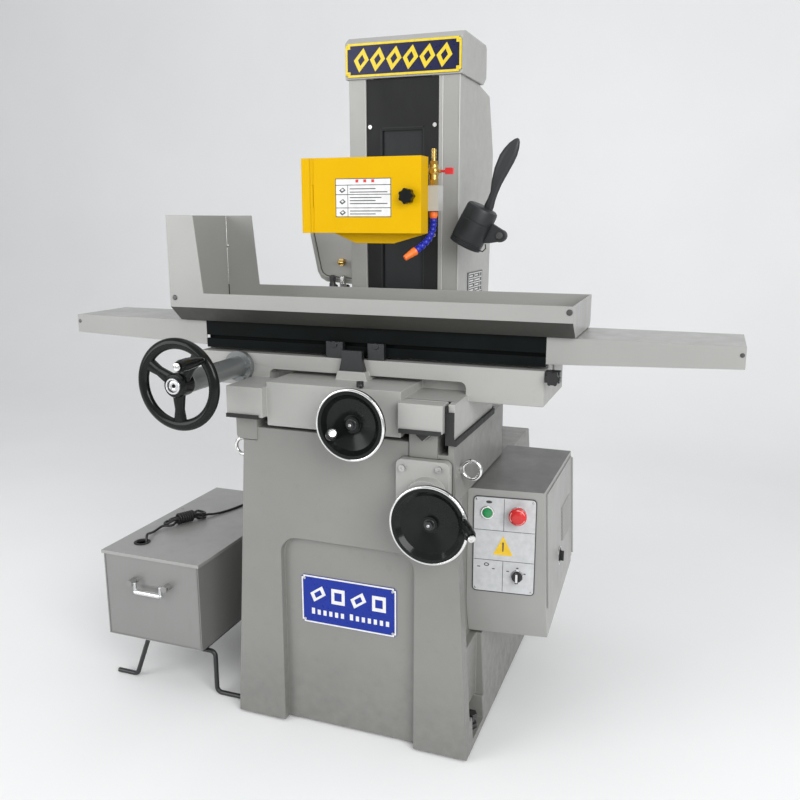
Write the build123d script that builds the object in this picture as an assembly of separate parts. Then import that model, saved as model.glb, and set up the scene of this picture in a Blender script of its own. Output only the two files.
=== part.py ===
from build123d import *
import math
import os

# Hand-fed surface grinder with its coolant tank. Millimetres, +Z up, +X to the operator's right,
# the operator stands at -Y. The origin is on the floor, at the centre of the four levelling feet.
# Every y below is measured back from the front plane of the base, and FRONT carries it to the origin.

# ---- driving dimensions -------------------------------------------------------------------------
FRONT = -380.0  # the front plane of the base, from the origin
BASE_Z0 = 6.0  # underside of the base, on its levelling pads
BASE_TOP = 739.0
BASE_DEPTH = 760.0
BASE_HALF_LOW = 294.0
BASE_HALF_TOP = 253.0
WAY_TOP = 764.0  # cross ways on the base
FIT = 0.3  # free gap between parts that slide or pass each other
BORE = 0.06  # radial clearance of a turning shaft

COLUMN_X0, COLUMN_X1 = -150.0, 140.0
COLUMN_Y0, COLUMN_Y1 = 400.0, 705.0
COLUMN_TOP = 1545.0
COVER_X0, COVER_X1 = -104.0, 86.0
SLOT_X0, SLOT_X1 = -61.5, 43.8
SLOT_Z0, SLOT_Z1 = 900.0, 1419.0

SPINDLE_X, SPINDLE_Z = -9.0, 1253.0
WHEEL_R = 79.0
WHEEL_BORE_R = 15.875
WHEEL_Y0, WHEEL_Y1 = 160.0, 173.5
GUARD_X0, GUARD_X1 = -156.0, 132.0
GUARD_Z0, GUARD_Z1 = 1173.0, 1338.0
GUARD_FRONT, GUARD_BACK = 140.0, 188.0
HINGE_X = -130.0  # the guard door's hinge line
KNOB_X, KNOB_Z = 103.0, 1253.0

TABLE_X = 5.0  # the table's middle at rest
TABLE_HALF = 415.0
TABLE_Y0, TABLE_Y1 = 114.0, 303.0
TABLE_Z0, TABLE_Z1 = 899.0, 965.0
TABLE_TOP = 1005.0
WORK_HALF = 230.0  # 460 mm long work surface
WORK_Y0, WORK_Y1 = 115.0, 265.0  # 150 mm wide
TRAY_HALF = 477.0
TRAY_Y0, TRAY_Y1 = 61.0, 318.0
TRAY_TOP = 1034.0
SHEET = 3.0
SPLASH_TOP = 1213.0
WING_END = 804.0

SADDLE_HALF = 421.0
SADDLE_Y0, SADDLE_Y1 = 100.0, 330.0
SADDLE_TOP = 893.0
RACK_Y0, RACK_Y1 = 200.0, 216.0
BELT_Y0, BELT_Y1 = 224.0, 240.0
PINION_X, PINION_R = -100.0, 19.5
DRIVE_Z = 861.0
PULLEY_R = 24.0

TABLE_WHEEL = (-310.0, -150.0, DRIVE_Z)
TABLE_WHEEL_R = 101.0
CROSS_WHEEL = (48.0, -60.0, 783.0)
CROSS_WHEEL_R = 78.0
LIFT_WHEEL = (222.0, -60.0, 584.0)
LIFT_WHEEL_R = 86.0
LAY_X = 100.0  # second shaft of the elevating train
PINION_PITCH, GEAR_PITCH = 30.5, 91.5  # 3 to 1, 122 mm between the shafts
BEVEL_R = 25.0
SCREW_Y, SCREW_R = 540.0, 12.0  # the elevating screw stands at LAY_X

BOX_X0, BOX_X1 = 250.3, 424.0  # electrical box
BOX_Y0, BOX_Y1 = 133.0, 517.0
BOX_Z0, BOX_Z1 = 247.0, 608.0
BOX_YAW = 6.23  # degrees that the box front turns away
BOX_LEAN = 15.0 / 361.0  # the right side leans out downwards

TANK_X0, TANK_X1 = -688.0, -403.0
TANK_Y0, TANK_Y1 = 12.0, 540.0
TANK_Z0, TANK_Z1 = 137.0, 368.0
TANK_SHEET = 2.0
LID_TOP = 370.5
LID_HOLE = (-624.0, 86.0)
LID_HOLE_R = 17.0
STAND_R = 6.0
CORD_R = 3.25

LAMP_Y = 340.0
LAMP_LOW = (173.7, LAMP_Y, 1142.8)
LAMP_HIGH = (218.6, LAMP_Y, 1230.7)
LAMP_R = 40.0
LAMP_EYE = (260.0, LAMP_Y, 1165.5)
LAMP_POST = (158.0, 508.0)


# ---- helpers ------------------------------------------------------------------------------------
def at(x, y, z):
    """A point given by its distance back from the base's front plane."""
    return Vector(x, y + FRONT, z)


def block(x0, x1, y0, y1, z0, z1):
    middle = at((x0 + x1) / 2, (y0 + y1) / 2, (z0 + z1) / 2)
    return Pos(*middle) * Box(x1 - x0, y1 - y0, z1 - z0)


def rod(p, q, r):
    """A cylinder from p to q."""
    a, b = at(*p), at(*q)
    return Plane(origin=a, z_dir=b - a) * Cylinder(
        r, (b - a).length, align=(Align.CENTER, Align.CENTER, Align.MIN)
    )


def cone(p, q, r0, r1):
    a, b = at(*p), at(*q)
    return Plane(origin=a, z_dir=b - a) * Cone(
        r0, r1, (b - a).length, align=(Align.CENTER, Align.CENTER, Align.MIN)
    )


def pipe(p, q, r_out, r_in):
    return rod(p, q, r_out) - rod(p, q, r_in)


def rod_y(x, z, y0, y1, r):
    return rod((x, y0, z), (x, y1, z), r)


def ball(p, r):
    return Pos(*at(*p)) * Sphere(r)


def hexagon_y(x, z, y0, y1, across):
    """A hexagon bar along Y."""
    face = Plane(origin=at(x, y0, z), x_dir=(1, 0, 0), z_dir=(0, 1, 0)) * RegularPolygon(
        across / 2, 6, major_radius=False
    )
    return extrude(face, amount=y1 - y0, dir=(0, 1, 0))


def hexagon_z(x, y, z0, z1, across):
    face = Plane(origin=at(x, y, z0)) * RegularPolygon(across / 2, 6, major_radius=False)
    return extrude(face, amount=z1 - z0, dir=(0, 0, 1))


def prism_x(outline, x0, x1):
    """An outline of (y, z) points drawn out along X."""
    face = Face(Wire.make_polygon([at(x0, y, z) for y, z in outline]))
    return extrude(face, amount=x1 - x0, dir=(1, 0, 0))


def prism_y(outline, y0, y1):
    """An outline of (x, z) points drawn out along Y."""
    face = Face(Wire.make_polygon([at(x, y0, z) for x, z in outline]))
    return extrude(face, amount=y1 - y0, dir=(0, 1, 0))


def prism_z(outline, z0, z1):
    """An outline of (x, y) points drawn out along Z."""
    face = Face(Wire.make_polygon([at(x, y, z0) for x, y in outline]))
    return extrude(face, amount=z1 - z0, dir=(0, 0, 1))


def turned(outline, centre):
    """A (radius, y) outline turned about an axis along Y through centre; y counts back from it."""
    points = [Vector(r, 0, -y) for r, y in outline]
    solid = revolve(Face(Wire.make_polygon(points)), Axis.Z)
    return Plane(origin=at(*centre), x_dir=(1, 0, 0), z_dir=(0, -1, 0)) * solid


def ring_z(x, y, z0, z1, r_out, r_in):
    return pipe((x, y, z0), (x, y, z1), r_out, r_in)


def hoop(centre, direction, big, small):
    """A round bar of radius small bent to a circle of radius big about a line."""
    level = Plane(origin=centre, z_dir=direction)
    start = centre + level.x_dir * big
    section = Plane(origin=start, x_dir=level.x_dir, z_dir=level.y_dir) * Circle(small)
    return revolve(section, Axis(centre, direction))


def export(name, *solids):
    """Writes one node: its pieces stay separate solids."""
    pieces = [s for shape in solids for s in shape.solids()]
    shape = pieces[0] if len(pieces) == 1 else Compound(children=pieces)
    shape.label = name
    export_step(shape, f"parts/{name}.step")


def half_width(z):
    """Half the base's width at a height."""
    share = (z - BASE_Z0) / (BASE_TOP - BASE_Z0)
    return BASE_HALF_LOW + (BASE_HALF_TOP - BASE_HALF_LOW) * share


# ---- base ---------------------------------------------------------------------------------------
FEET = [(x, y) for x in (-275.0, 275.0) for y in (105.0, 655.0)]
V_X0, V_X1, V_DEEP = 166.0, 211.0, 746.0


def base_outside():
    width = prism_y(
        [
            (-BASE_HALF_LOW, BASE_Z0),
            (BASE_HALF_LOW, BASE_Z0),
            (BASE_HALF_TOP, BASE_TOP),
            (-BASE_HALF_TOP, BASE_TOP),
        ],
        -10,
        BASE_DEPTH + 10,
    )
    side = prism_x(
        [(0, BASE_Z0), (8, BASE_TOP), (424, BASE_TOP), (424, 600), (748, 600), (BASE_DEPTH, BASE_Z0)],
        -310,
        310,
    )
    return (width & side) + block(-185, 185, 400, 735, 590, BASE_TOP)


def front_recess():
    """The sunk panel between the two front legs, with round upper corners."""
    panel = block(-165, 165, -12, 23, BASE_Z0 - 8, 481)
    corners = panel.edges().filter_by(Axis.Y).group_by(Axis.Z)[-1]
    return fillet(corners, 42)


def cross_ways():
    """Flat way on the left and V way on the right."""
    flat = block(-271, -216, 5, 400, 708, WAY_TOP)
    flat = fillet(flat.edges().filter_by(Axis.Y).group_by(Axis.Z)[0].sort_by(Axis.X)[0], 10)
    step = block(-216, -171, 40, 400, 730, 747)
    v_way = block(153, 218, 5, 400, 706, WAY_TOP)
    groove = prism_y([(V_X0, WAY_TOP), (V_X1, WAY_TOP), (188.5, V_DEEP)], 0, 401)
    return flat + step + (v_way - groove)


def base_casting():
    body = base_outside() - front_recess() + cross_ways()
    body -= block(218, 240, -2, 400, 716, BASE_TOP + 6)  # oil trough beside the V way
    body -= block(-236, 236, 45, 424 - 16, -1, 700)
    body -= block(-236, 236, 400, 738, -1, 580)
    body -= block(-168, 168, 400, 718, 570, 700)
    for y in (90, 470):  # webs that carry the elevating shafts
        body += block(-240, 240, y, y + 15, 540, 640) & block(-240, 240, 0, 738, 0, 690)
    body -= block(230, 254, 57, 83, LIFT_WHEEL[2] - 36, LIFT_WHEEL[2] + 36)  # room for the pinion
    body -= block(BOX_X0 - 0.3, 310, 40, 530, 238, 612)  # seat of the electrical box
    body -= block(268, 310, 40, 162, 80, 238)
    for x, y in FEET:
        side = 1 if x > 0 else -1
        body -= block(min(side * 250, side * 310), max(side * 250, side * 310), y - 45, y + 45, 24, 80)
        body -= rod((x, y, -1), (x, y, 30), 8.3)
    body -= elevating_bracket_blank()
    body -= rod_y(LIFT_WHEEL[0], LIFT_WHEEL[2], -10, 60, 14)
    body -= rod_y(LIFT_WHEEL[0], LIFT_WHEEL[2], 80, 110, 11 + BORE)
    body -= rod_y(LAY_X, LIFT_WHEEL[2], 80, 490, 10 + BORE)
    body -= rod((LAY_X, SCREW_Y, 690), (LAY_X, SCREW_Y, 745), SCREW_R + BORE)
    body -= rod((-310, 513, 333), (-230, 513, 333), 8)
    for x, z in BRACKET_SCREWS:
        body -= rod_y(x, z, 0, 30, 4)
    for x, z in NAME_SCREWS:
        body -= rod_y(x, z, 20, 32, 1.5)
    for x in (-262.0, 262.0):  # eyebolt seats
        y = EYEBOLT_Y[x]
        side = 1 if x > 0 else -1
        body -= rod((side * 235, y, EYEBOLT_Z), (side * 290, y, EYEBOLT_Z), 6)
    return body


EYEBOLT_Z = 677.0
EYEBOLT_Y = {-262.0: 50.0, 262.0: 50.0}


def eyebolts():
    """Lifting eyes screwed into the base's sides."""
    eyes = []
    for x, y in EYEBOLT_Y.items():
        side = 1 if x > 0 else -1
        face = half_width(EYEBOLT_Z)
        shank = rod((side * 240, y, EYEBOLT_Z), (side * (face + 4), y, EYEBOLT_Z), 6)
        collar = rod((side * (face + 0.5), y, EYEBOLT_Z), (side * (face + 7), y, EYEBOLT_Z), 11)
        ring = hoop(at(side * (face + 24), y, EYEBOLT_Z), Vector(0, 1, 0), 20, 4.5)
        eyes.append(shank + collar + ring)
    return eyes


def levelling_feet():
    """A hexagon screw on a round pad at each corner."""
    feet = []
    for x, y in FEET:
        pad = rod((x, y, 0), (x, y, BASE_Z0), 17)
        screw = rod((x, y, BASE_Z0), (x, y, 50), 8)
        head = hexagon_z(x, y, 50, 61, 24)
        nut = hexagon_z(x, y, 24, 36, 24)
        feet.append(pad + screw + head + nut)
    return feet


NAME_SCREWS = [(x, z) for x in (-113.0, 109.0) for z in (276.0, 379.0)]


def notched(x0, x1, z0, z1, notch, y0, y1):
    """A plate whose corners are cut in steps."""
    outline = [
        (x0 + notch, z0),
        (x1 - notch, z0),
        (x1 - notch, z0 + notch),
        (x1, z0 + notch),
        (x1, z1 - notch),
        (x1 - notch, z1 - notch),
        (x1 - notch, z1),
        (x0 + notch, z1),
        (x0 + notch, z1 - notch),
        (x0, z1 - notch),
        (x0, z0 + notch),
        (x0 + notch, z0 + notch),
    ]
    return prism_y(outline, y0, y1)


def name_plate():
    plate = notched(-122, 118, 267, 388, 5, 21, 23)
    for x, z in NAME_SCREWS:
        plate -= rod_y(x, z, 19, 24, 1.5)
    return plate


BRACKET_SCREWS = [(146.0, 687.0), (228.0, 691.0), (146.0, 537.0), (236.0, 533.0)]


def elevating_bracket_blank():
    plate = block(130, 250, -14, 9, 522, 706)
    return fillet(plate.edges().filter_by(Axis.Y), 14)


def elevating_bracket():
    """Plate and bearing boss of the elevating handwheel."""
    boss = block(165, 243, -44, -14, 536, 672)
    boss = fillet(boss.edges().filter_by(Axis.Y), 36)
    body = elevating_bracket_blank() + boss
    body += rod_y(LIFT_WHEEL[0], LIFT_WHEEL[2], -44.5, -14, 34)
    body -= rod_y(LIFT_WHEEL[0], LIFT_WHEEL[2], -50, 12, 11 + BORE)
    for x, z in BRACKET_SCREWS:
        body -= rod_y(x, z, -20, 12, 4)
    return body


# ---- column -------------------------------------------------------------------------------------
COVER_SCREWS = [(x, z) for x in (-94.0, 76.0) for z in (880.0, 1165.0, 1429.0)]


def column():
    outside = prism_x(
        [
            (COLUMN_Y0, BASE_TOP),
            (COLUMN_Y0, COLUMN_TOP),
            (572, COLUMN_TOP),
            (582, 1540),
            (679, 1526),
            (727, 1380),
            (COLUMN_Y1, 985),
            (COLUMN_Y1, BASE_TOP),
        ],
        COLUMN_X0,
        COLUMN_X1,
    )
    inside = prism_x(
        [(418, 730), (418, 1524), (560, 1524), (662, 1508), (708, 1377), (687, 985), (687, 730)],
        COLUMN_X0 + 18,
        COLUMN_X1 - 18,
    )
    body = outside - inside
    body -= block(-84, 66, 390, 420, 798, 1550)  # room for the shutter
    body -= block(COVER_X0, COVER_X1, 390, 406, 790, 1550)
    for x, z in COVER_SCREWS:
        body -= rod_y(x, z, 400, 416, 2.5)
    body += lamp_lug()
    return body


def lamp_lug():
    lug = block(COLUMN_X1, 176, 490, 526, 1146, 1162)
    return lug - rod((LAMP_POST[0], LAMP_POST[1], 1140), (LAMP_POST[0], LAMP_POST[1], 1170), 5 + BORE)


def column_cap():
    outside = prism_x(
        [(394, 1542), (394, 1627), (416, 1642), (604, 1642), (614, 1634), (614, 1562), (588, 1542)],
        -157,
        147,
    )
    inside = prism_x(
        [(399.9, 1530), (399.9, 1622), (418, 1634), (600, 1634), (606, 1629), (606, 1566), (580, 1546), (580, 1530)],
        COLUMN_X0 - 0.1,
        COLUMN_X1 + 0.1,
    )
    return outside - inside


def sign_plate():
    return notched(-155, 145, 1546, 1625.5, 6, 392, 394)


def rating_plate():
    return block(COLUMN_X1, COLUMN_X1 + 1.5, 486, 629, 1007, 1068)


def slot_cover():
    """Fixed cover on the column's front, with the slot that the head travels in."""
    plate = block(COVER_X0 + 0.2, COVER_X1 - 0.2, 403, 406, 790.2, 1541)
    plate -= block(SLOT_X0, SLOT_X1, 400, 408, SLOT_Z0, SLOT_Z1)
    for x, z in COVER_SCREWS:
        plate -= rod_y(x, z, 400, 408, 2.5)
    return plate


def fasteners():
    """Round-head screws of the slot cover, the bracket and the name plate."""
    screws = []
    for x, z in COVER_SCREWS:
        screws.append(rod_y(x, z, 400.4, 403, 5) + rod_y(x, z, 403, 415, 2.5))
    for x, z in BRACKET_SCREWS:
        head = rod_y(x, z, -21, -14, 7) - hexagon_y(x, z, -22, -17, 6)
        screws.append(head + rod_y(x, z, -14, 26, 4))
    for x, z in NAME_SCREWS:
        screws.append(rod_y(x, z, 19.8, 21, 3) + rod_y(x, z, 21, 31, 1.5))
    return screws


SIDE_OUT = [(-150, 1310), (-295, 1310), (-281, 1160), (-262, 1066), (-252, 1049), (-236, 1040), (-150, 1034)]
SIDE_IN = [(-150, 1306), (-290, 1306), (-277, 1160), (-258, 1067), (-249, 1052), (-235, 1044), (-150, 1038)]


def side_housing():
    """Sheet housing on the column's left side, with the oil elbow and two dark unions."""
    shell = prism_y(SIDE_OUT, 430, 560) - prism_y(SIDE_IN, 434, 556)
    shell -= rod_y(-188, 1092, 425, 436, 5)
    elbow = rod_y(-188, 1092, 408, 430, 5) + hexagon_y(-188, 1092, 420, 430, 17) + ball((-188, 408, 1092), 6)
    elbow += rod((-188, 408, 1092), (-176, 408, 1092), 5) + rod_y(-188, 1092, 430, 434, 5)
    unions = []
    for x in (-221, -186):
        union = rod((x, 440, 1010), (x, 440, 1032), 9) + hexagon_z(x, 440, 1018, 1030, 22)
        unions.append(union - prism_y(SIDE_OUT, 420, 570))
    return [shell, elbow] + unions


# ---- electrical box -----------------------------------------------------------------------------
def yawed(x, y, z):
    """A place in the box front's own frame: along the front, back from it, and up."""
    a = math.radians(BOX_YAW)
    return (
        BOX_X0 + x * math.cos(a) - y * math.sin(a),
        BOX_Y0 + x * math.sin(a) + y * math.cos(a),
        z,
    )


def yawed_block(x0, x1, y0, y1, z0, z1):
    corners = [(x0, y0), (x1, y0), (x1, y1), (x0, y1)]
    outline = [yawed(x, y, 0)[:2] for x, y in corners]
    return prism_z(outline, z0, z1)


def right_side(z):
    """X of the box's right side at a height, under the door."""
    return BOX_X1 - 3 + (BOX_Z1 - z) * BOX_LEAN


def box_form(t):
    """The box's outer form, t inside its faces."""
    width = prism_y(
        [
            (BOX_X0 + t, BOX_Z1 - t),
            (right_side(BOX_Z1) - t, BOX_Z1 - t),
            (right_side(BOX_Z0) - t, BOX_Z0 - 10),
            (BOX_X0 + t, BOX_Z0 - 10),
        ],
        90,
        BOX_Y1 - t,
    )
    plan = yawed_block(-60, 260, t, 700, 200, 700)
    low = prism_x([(60, 230), (160, BOX_Z0 + t), (BOX_Y1 + 1, 302 + t), (BOX_Y1 + 1, 210), (60, 210)], 200, 500)
    a, b = yawed(-60, 0, 0), yawed(260, 0, 0)
    lean = [(0, 327 + t), (27 + t, BOX_Z0 - 20 + t), (27 + t, 200), (-40, 200), (-40, 327 + t)]
    start = Plane(
        origin=at(a[0], a[1], 0),
        x_dir=Vector(-(b[1] - a[1]), b[0] - a[0], 0).normalized(),
        z_dir=Vector(b[0] - a[0], b[1] - a[1], 0).normalized(),
    )
    face = Face(Wire.make_polygon([start.from_local_coords((y, z, 0)) for y, z in lean]))
    wedge = extrude(face, amount=320, dir=start.z_dir)
    return (width & plan) - low - wedge


PANEL_Z0, PANEL_Z1 = 362.0, 590.0
START = (46.5, 554.0)
STOP = (116.5, 556.0)
SELECTOR = (117.0, 406.0)


def panel_rod(place, y0, y1, r):
    x, z = place
    return rod(yawed(x, y0, z), yawed(x, y1, z), r)


def box_shell():
    body = box_form(0) - box_form(2.5)
    body -= block(400, 460, 185, 498, 332, 586)  # the doorway
    for place, r in ((START, 9), (STOP, 9), (SELECTOR, 8)):
        body -= panel_rod(place, -1, 6, r)
    body += rod((344, 330, 268), (344, 330, 277), 13)  # seat of the cable gland
    return body


def box_panel():
    """Silver operator panel with the two button bezels."""
    plate = yawed_block(15, 155, -2, 0, PANEL_Z0, PANEL_Z1)
    plate = fillet(plate.edges().filter_by(lambda e: abs(e.length - 2) < 0.01), 8)
    plate += panel_rod(START, -7, -2, 15)
    plate += panel_rod(STOP, -6, -2, 17)
    plate += panel_rod(SELECTOR, -5, -2, 14)
    plate -= panel_rod(START, -8, 1, 11.2)
    plate -= panel_rod(STOP, -8, 1, 8.3)
    plate -= panel_rod(SELECTOR, -8, 1, 7.3)
    return plate


def start_button():
    return panel_rod(START, -10, -3.3, 10.8) + panel_rod(START, -3.3, 14, 5)


def emergency_stop():
    head = cone(yawed(STOP[0], -14, STOP[1]), yawed(STOP[0], -19, STOP[1]), 15, 20)
    head += panel_rod(STOP, -26, -19, 20)
    head += cone(yawed(STOP[0], -26, STOP[1]), yawed(STOP[0], -31, STOP[1]), 20, 14)
    return head + panel_rod(STOP, -15, 14, 8)


def selector_knob():
    knob = panel_rod(SELECTOR, -12, -5.5, 12) + panel_rod(SELECTOR, -6, 14, 7)
    x, z = SELECTOR
    return knob + yawed_block(x - 3.5, x + 3.5, -20, -12, z - 12, z + 12)


def box_internals():
    """Mounting plate with contactors and a terminal strip."""
    plate = block(253, 256, 190, 490, 330, 590)
    pieces = [plate]
    for y in (210, 280, 350):
        pieces.append(block(256, 320, y, y + 56, 500, 580))
    pieces.append(block(256, 296, 210, 460, 400, 430))
    return pieces


def on_side(y0, y1, z0, z1, out0, out1):
    """A plate parallel to the box's leaning side, out0 to out1 outside it."""
    outline = [
        (right_side(z1) + out0, z1),
        (right_side(z1) + out1, z1),
        (right_side(z0) + out1, z0),
        (right_side(z0) + out0, z0),
    ]
    return prism_y(outline, y0, y1)


LATCH = (322.0, 395.0)  # y and z of the box door's latch


def box_door():
    door = on_side(176, 508, 322, 597, 0.3, 2.8)
    for k in range(9):
        z = 420 + 10 * k
        door -= block(400, 450, 355, 470, z, z + 3.5)
    door -= rod((400, LATCH[0], LATCH[1]), (450, LATCH[0], LATCH[1]), 6.3)
    door += rod((right_side(592) + 3.5, 510, 592), (right_side(330) + 3.5, 510, 330), 3)
    return door


def box_latch():
    x = right_side(LATCH[1])
    y, z = LATCH
    knob = rod((x + 3.9, y, z), (x + 6.5, y, z), 14) + rod((x - 6, y, z), (x + 4, y, z), 6)
    grip = block(x + 5, x + 14, y - 3, y + 3, z - 12, z + 12)
    tongue = block(x - 9, x - 6, y - 6, y + 6, z - 8, z + 8)
    return knob + grip + tongue


def cord_gland():
    """Cable glands: under the electrical box, and where the pump's lead enters the base."""
    under = rod((344, 330, 254), (344, 330, 268), 11) + hexagon_z(344, 330, 260, 267, 26)
    under -= rod((344, 330, 253), (344, 330, 262), 5)
    face = half_width(333)
    lead = rod((-face - 16, 513, 333), (-face - 4, 513, 333), 8)
    lead += rod((-face - 7, 513, 333), (-face + 18, 513, 333), 8) + rod((-face - 7, 513, 333), (-face - 1.5, 513, 333), 12)
    lead -= rod((-face - 20, 513, 333), (-face - 6, 513, 333), CORD_R)
    return [under, lead]


# ---- coolant tank -------------------------------------------------------------------------------
HANDLE_Y, HANDLE_Z = -6.0, 300.0
HANDLE_X = (-596.0, -492.0)


def tank_body():
    outside = block(TANK_X0, TANK_X1, TANK_Y0, TANK_Y1, TANK_Z0, TANK_Z1)
    t = TANK_SHEET
    inside = block(TANK_X0 + t, TANK_X1 - t, TANK_Y0 + t, TANK_Y1 - t, TANK_Z0 + t, TANK_Z1 + 1)
    body = outside - inside
    for x in HANDLE_X:  # handle bosses
        boss = rod((x, HANDLE_Y - 6, HANDLE_Z), (x, TANK_Y0, HANDLE_Z), 9)
        body += boss - rod((x - 10, HANDLE_Y, HANDLE_Z), (x + 10, HANDLE_Y, HANDLE_Z), 3 + BORE)
    return body


def tank_lid():
    lip = block(TANK_X0 - 4, TANK_X1 + 4, TANK_Y0 - 4, TANK_Y1 + 4, TANK_Z1 - 6, LID_TOP)
    lip -= block(TANK_X0 - 2.2, TANK_X1 + 2.2, TANK_Y0 - 2.2, TANK_Y1 + 2.2, TANK_Z1 - 10, TANK_Z1)
    x, y = LID_HOLE
    lid = lip - rod((x, y, 360), (x, y, 380), LID_HOLE_R)
    for x, y in LID_SCREWS:
        lid += rod((x, y, LID_TOP - 0.5), (x, y, LID_TOP + 2), 4)
    return lid


LID_SCREWS = [(-678.0, 342.0), (-412.0, 342.0)]


def tank_handle():
    """Drop handle: its bar hangs from the two bosses."""
    y = HANDLE_Y
    left, right = HANDLE_X
    bar = rod((left + 14, y, 278), (right - 14, y, 278), 5.5)
    for x, side in ((left, 1), (right, -1)):
        bar += rod((x, y, HANDLE_Z), (x + side * 14, y, HANDLE_Z), 3)
        bar += ball((x + side * 14, y, HANDLE_Z), 4)
        bar += rod((x + side * 14, y, HANDLE_Z), (x + side * 14, y, 278), 4) + ball((x + side * 14, y, 278), 5.5)
    return bar


def stand_rod(points, radius):
    wire = FilletPolyline(*[at(*p) for p in points], radius=radius)
    start = Plane(origin=wire @ 0, z_dir=wire % 0)
    return sweep(start * Circle(STAND_R), path=wire)


def tank_stand():
    """Two bent steel rods with their feet on the floor, and two bars along the tank."""
    top = TANK_Z0 - STAND_R
    rods = []
    for y in (50.0, 500.0):
        points = [
            (-318, y, STAND_R),
            (-391, y, STAND_R),
            (-391, y, top - 12),
            (-596, y, top - 12),
            (-640, y, STAND_R),
            (-700, y, STAND_R),
        ]
        rods.append(stand_rod(points, 14))
    for x in (-420.0, -570.0):
        rods.append(block(x - 8, x + 8, 30, 520, top - 6, TANK_Z0))
    return rods


PUMP = (-600.0, 150.0)


def tank_pump():
    x, y = PUMP
    body = rod((x, y, TANK_Z0 + TANK_SHEET), (x, y, 210), 58)
    body += rod((x, y, 200), (x, y, 318), 46) + rod((x, y, 318), (x, y, 330), 40)
    body += rod((-616, 92, 306), (-616, 92, 320), 9) + block(-632, -600, 92, 130, 300, 316)
    body -= rod((-616, 92, 312), (-616, 92, 322), CORD_R)
    return body


CORD_START = [
    (-616, 92, 312),
    (-616, 92, 332),
    (-616, 92.5, 352),
    (-617, 94, 372),
    (-621, 103, 387),
    (-628, 121, 382),
    (-634, 143, 375.5),
    (-636, 166, 375),
    (-633, 188, 380),
]
HANK_A, HANK_B = (-633.0, 188.0, 386.0), (-569.0, 304.0, 386.0)
CORD_END = [
    (-569, 304, 380),
    (-561, 318, 376),
    (-552, 334, 374.4),
    (-543, 353, 374.0),
    (-534, 375, 374.2),
    (-527, 402, 374.0),
    (-520, 431, 374.1),
    (-505, 459, 374.0),
    (-478, 481, 374.2),
    (-446, 494, 374.8),
    (-417, 501, 378),
    (-394, 505, 379),
    (-373, 508, 368),
    (-355, 510, 352),
    (-337, 511.5, 339),
    (-316, 512.5, 333.4),
    (-292, 513, 333),
]


def corner_radii(points):
    """0.45 of the shorter run beside each corner, over the tangent of half its turn."""
    radii = []
    for a, b, c in zip(points, points[1:], points[2:]):
        before, after = b - a, c - b
        half = math.radians(before.get_angle(after)) / 2
        radii.append(0.45 * min(before.length, after.length) / math.tan(half))
    return radii


def cord_tube(route):
    points = [at(*p) for p in route]
    radii = corner_radii(points)
    print("cord radii", [round(r, 1) for r in radii])
    wire = FilletPolyline(*points, radius=radii)
    start = Plane(origin=wire @ 0, z_dir=wire % 0)
    tube = sweep(start * Circle(CORD_R), path=wire)
    print("cord length", round(wire.length, 1), "volume share", tube.volume / (math.pi * CORD_R**2 * wire.length))
    return tube


def hank_solid():
    """Outer shape of the wound hank that lies on the lid."""
    a, b = at(*HANK_A), at(*HANK_B)
    middle = (a + b) / 2
    along = (b - a).normalized()
    plane = Plane(origin=Vector(middle.X, middle.Y, LID_TOP + 0.2), x_dir=along, z_dir=(0, 0, 1))
    body = Box((b - a).length, 40, 33, align=(Align.CENTER, Align.CENTER, Align.MIN))
    body = fillet(body.edges().filter_by(Axis.Z), 18)
    body = fillet(body.edges().group_by(Axis.Z)[-1], 11)
    return plane * body


# ---- handwheels ---------------------------------------------------------------------------------
def round_section(middle, r, sides=24):
    """A many-sided round section of a rim, as (radius, y) points."""
    turns = [2 * math.pi * k / sides for k in range(sides)]
    return [(middle + r * math.cos(t), r * math.sin(t)) for t in turns]


def dish_wheel(centre, r):
    """Dished wheel with a raised rim and a hub; the operator's side is hollow."""
    outline = [
        (0, 6),
        (20, 6),
        (r - 22, -1),
        (r - 12, -9),
        (r - 3, -9),
        (r, -6),
        (r, 1),
        (r - 10, 6),
        (r - 24, 12),
        (22, 15),
        (0, 15),
    ]
    hub = turned([(0, 1), (17, 1), (17, 15), (0, 15)], centre)
    return turned(outline, centre) + hub


def grip_shape(centre, tip):
    """Bulged grip on a pin, from its root towards its tip."""
    a, b = at(*centre), at(*tip)
    length = (b - a).length
    outline = [
        (3.6, 9),
        (8, 9),
        (11.5, 0.35 * length),
        (13, 0.65 * length),
        (12.5, 0.9 * length),
        (10, length),
        (3.6, length),
    ]
    solid = revolve(Face(Wire.make_polygon([Vector(r, 0, z) for r, z in outline])), Axis.Z)
    return Plane(origin=a, z_dir=b - a) * solid


def grip_pin(centre, tip, sunk):
    """Fixed pin that a revolving grip turns on, sunk into the wheel."""
    a, b = at(*centre), at(*tip)
    along = (b - a).normalized()
    start = a - along * sunk
    length = (b - a).length + sunk + 1
    plane = Plane(origin=start, z_dir=along)
    pin = plane * Cylinder(3.5, length, align=(Align.CENTER, Align.CENTER, Align.MIN))
    end = Plane(origin=b + along * 0.5, z_dir=along)
    return pin + end * Cylinder(5.5, 2.5, align=(Align.CENTER, Align.CENTER, Align.MIN))


CROSS_GRIP = ((0.0, -62.0, 752.0), (23.0, -100.0, 772.0))
LIFT_GRIP = ((292.0, -68.0, 611.0), (328.0, -118.0, 592.0))
TABLE_GRIP = ((-240.0, -158.0, 920.0), (-240.0, -246.0, 920.0))


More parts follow.
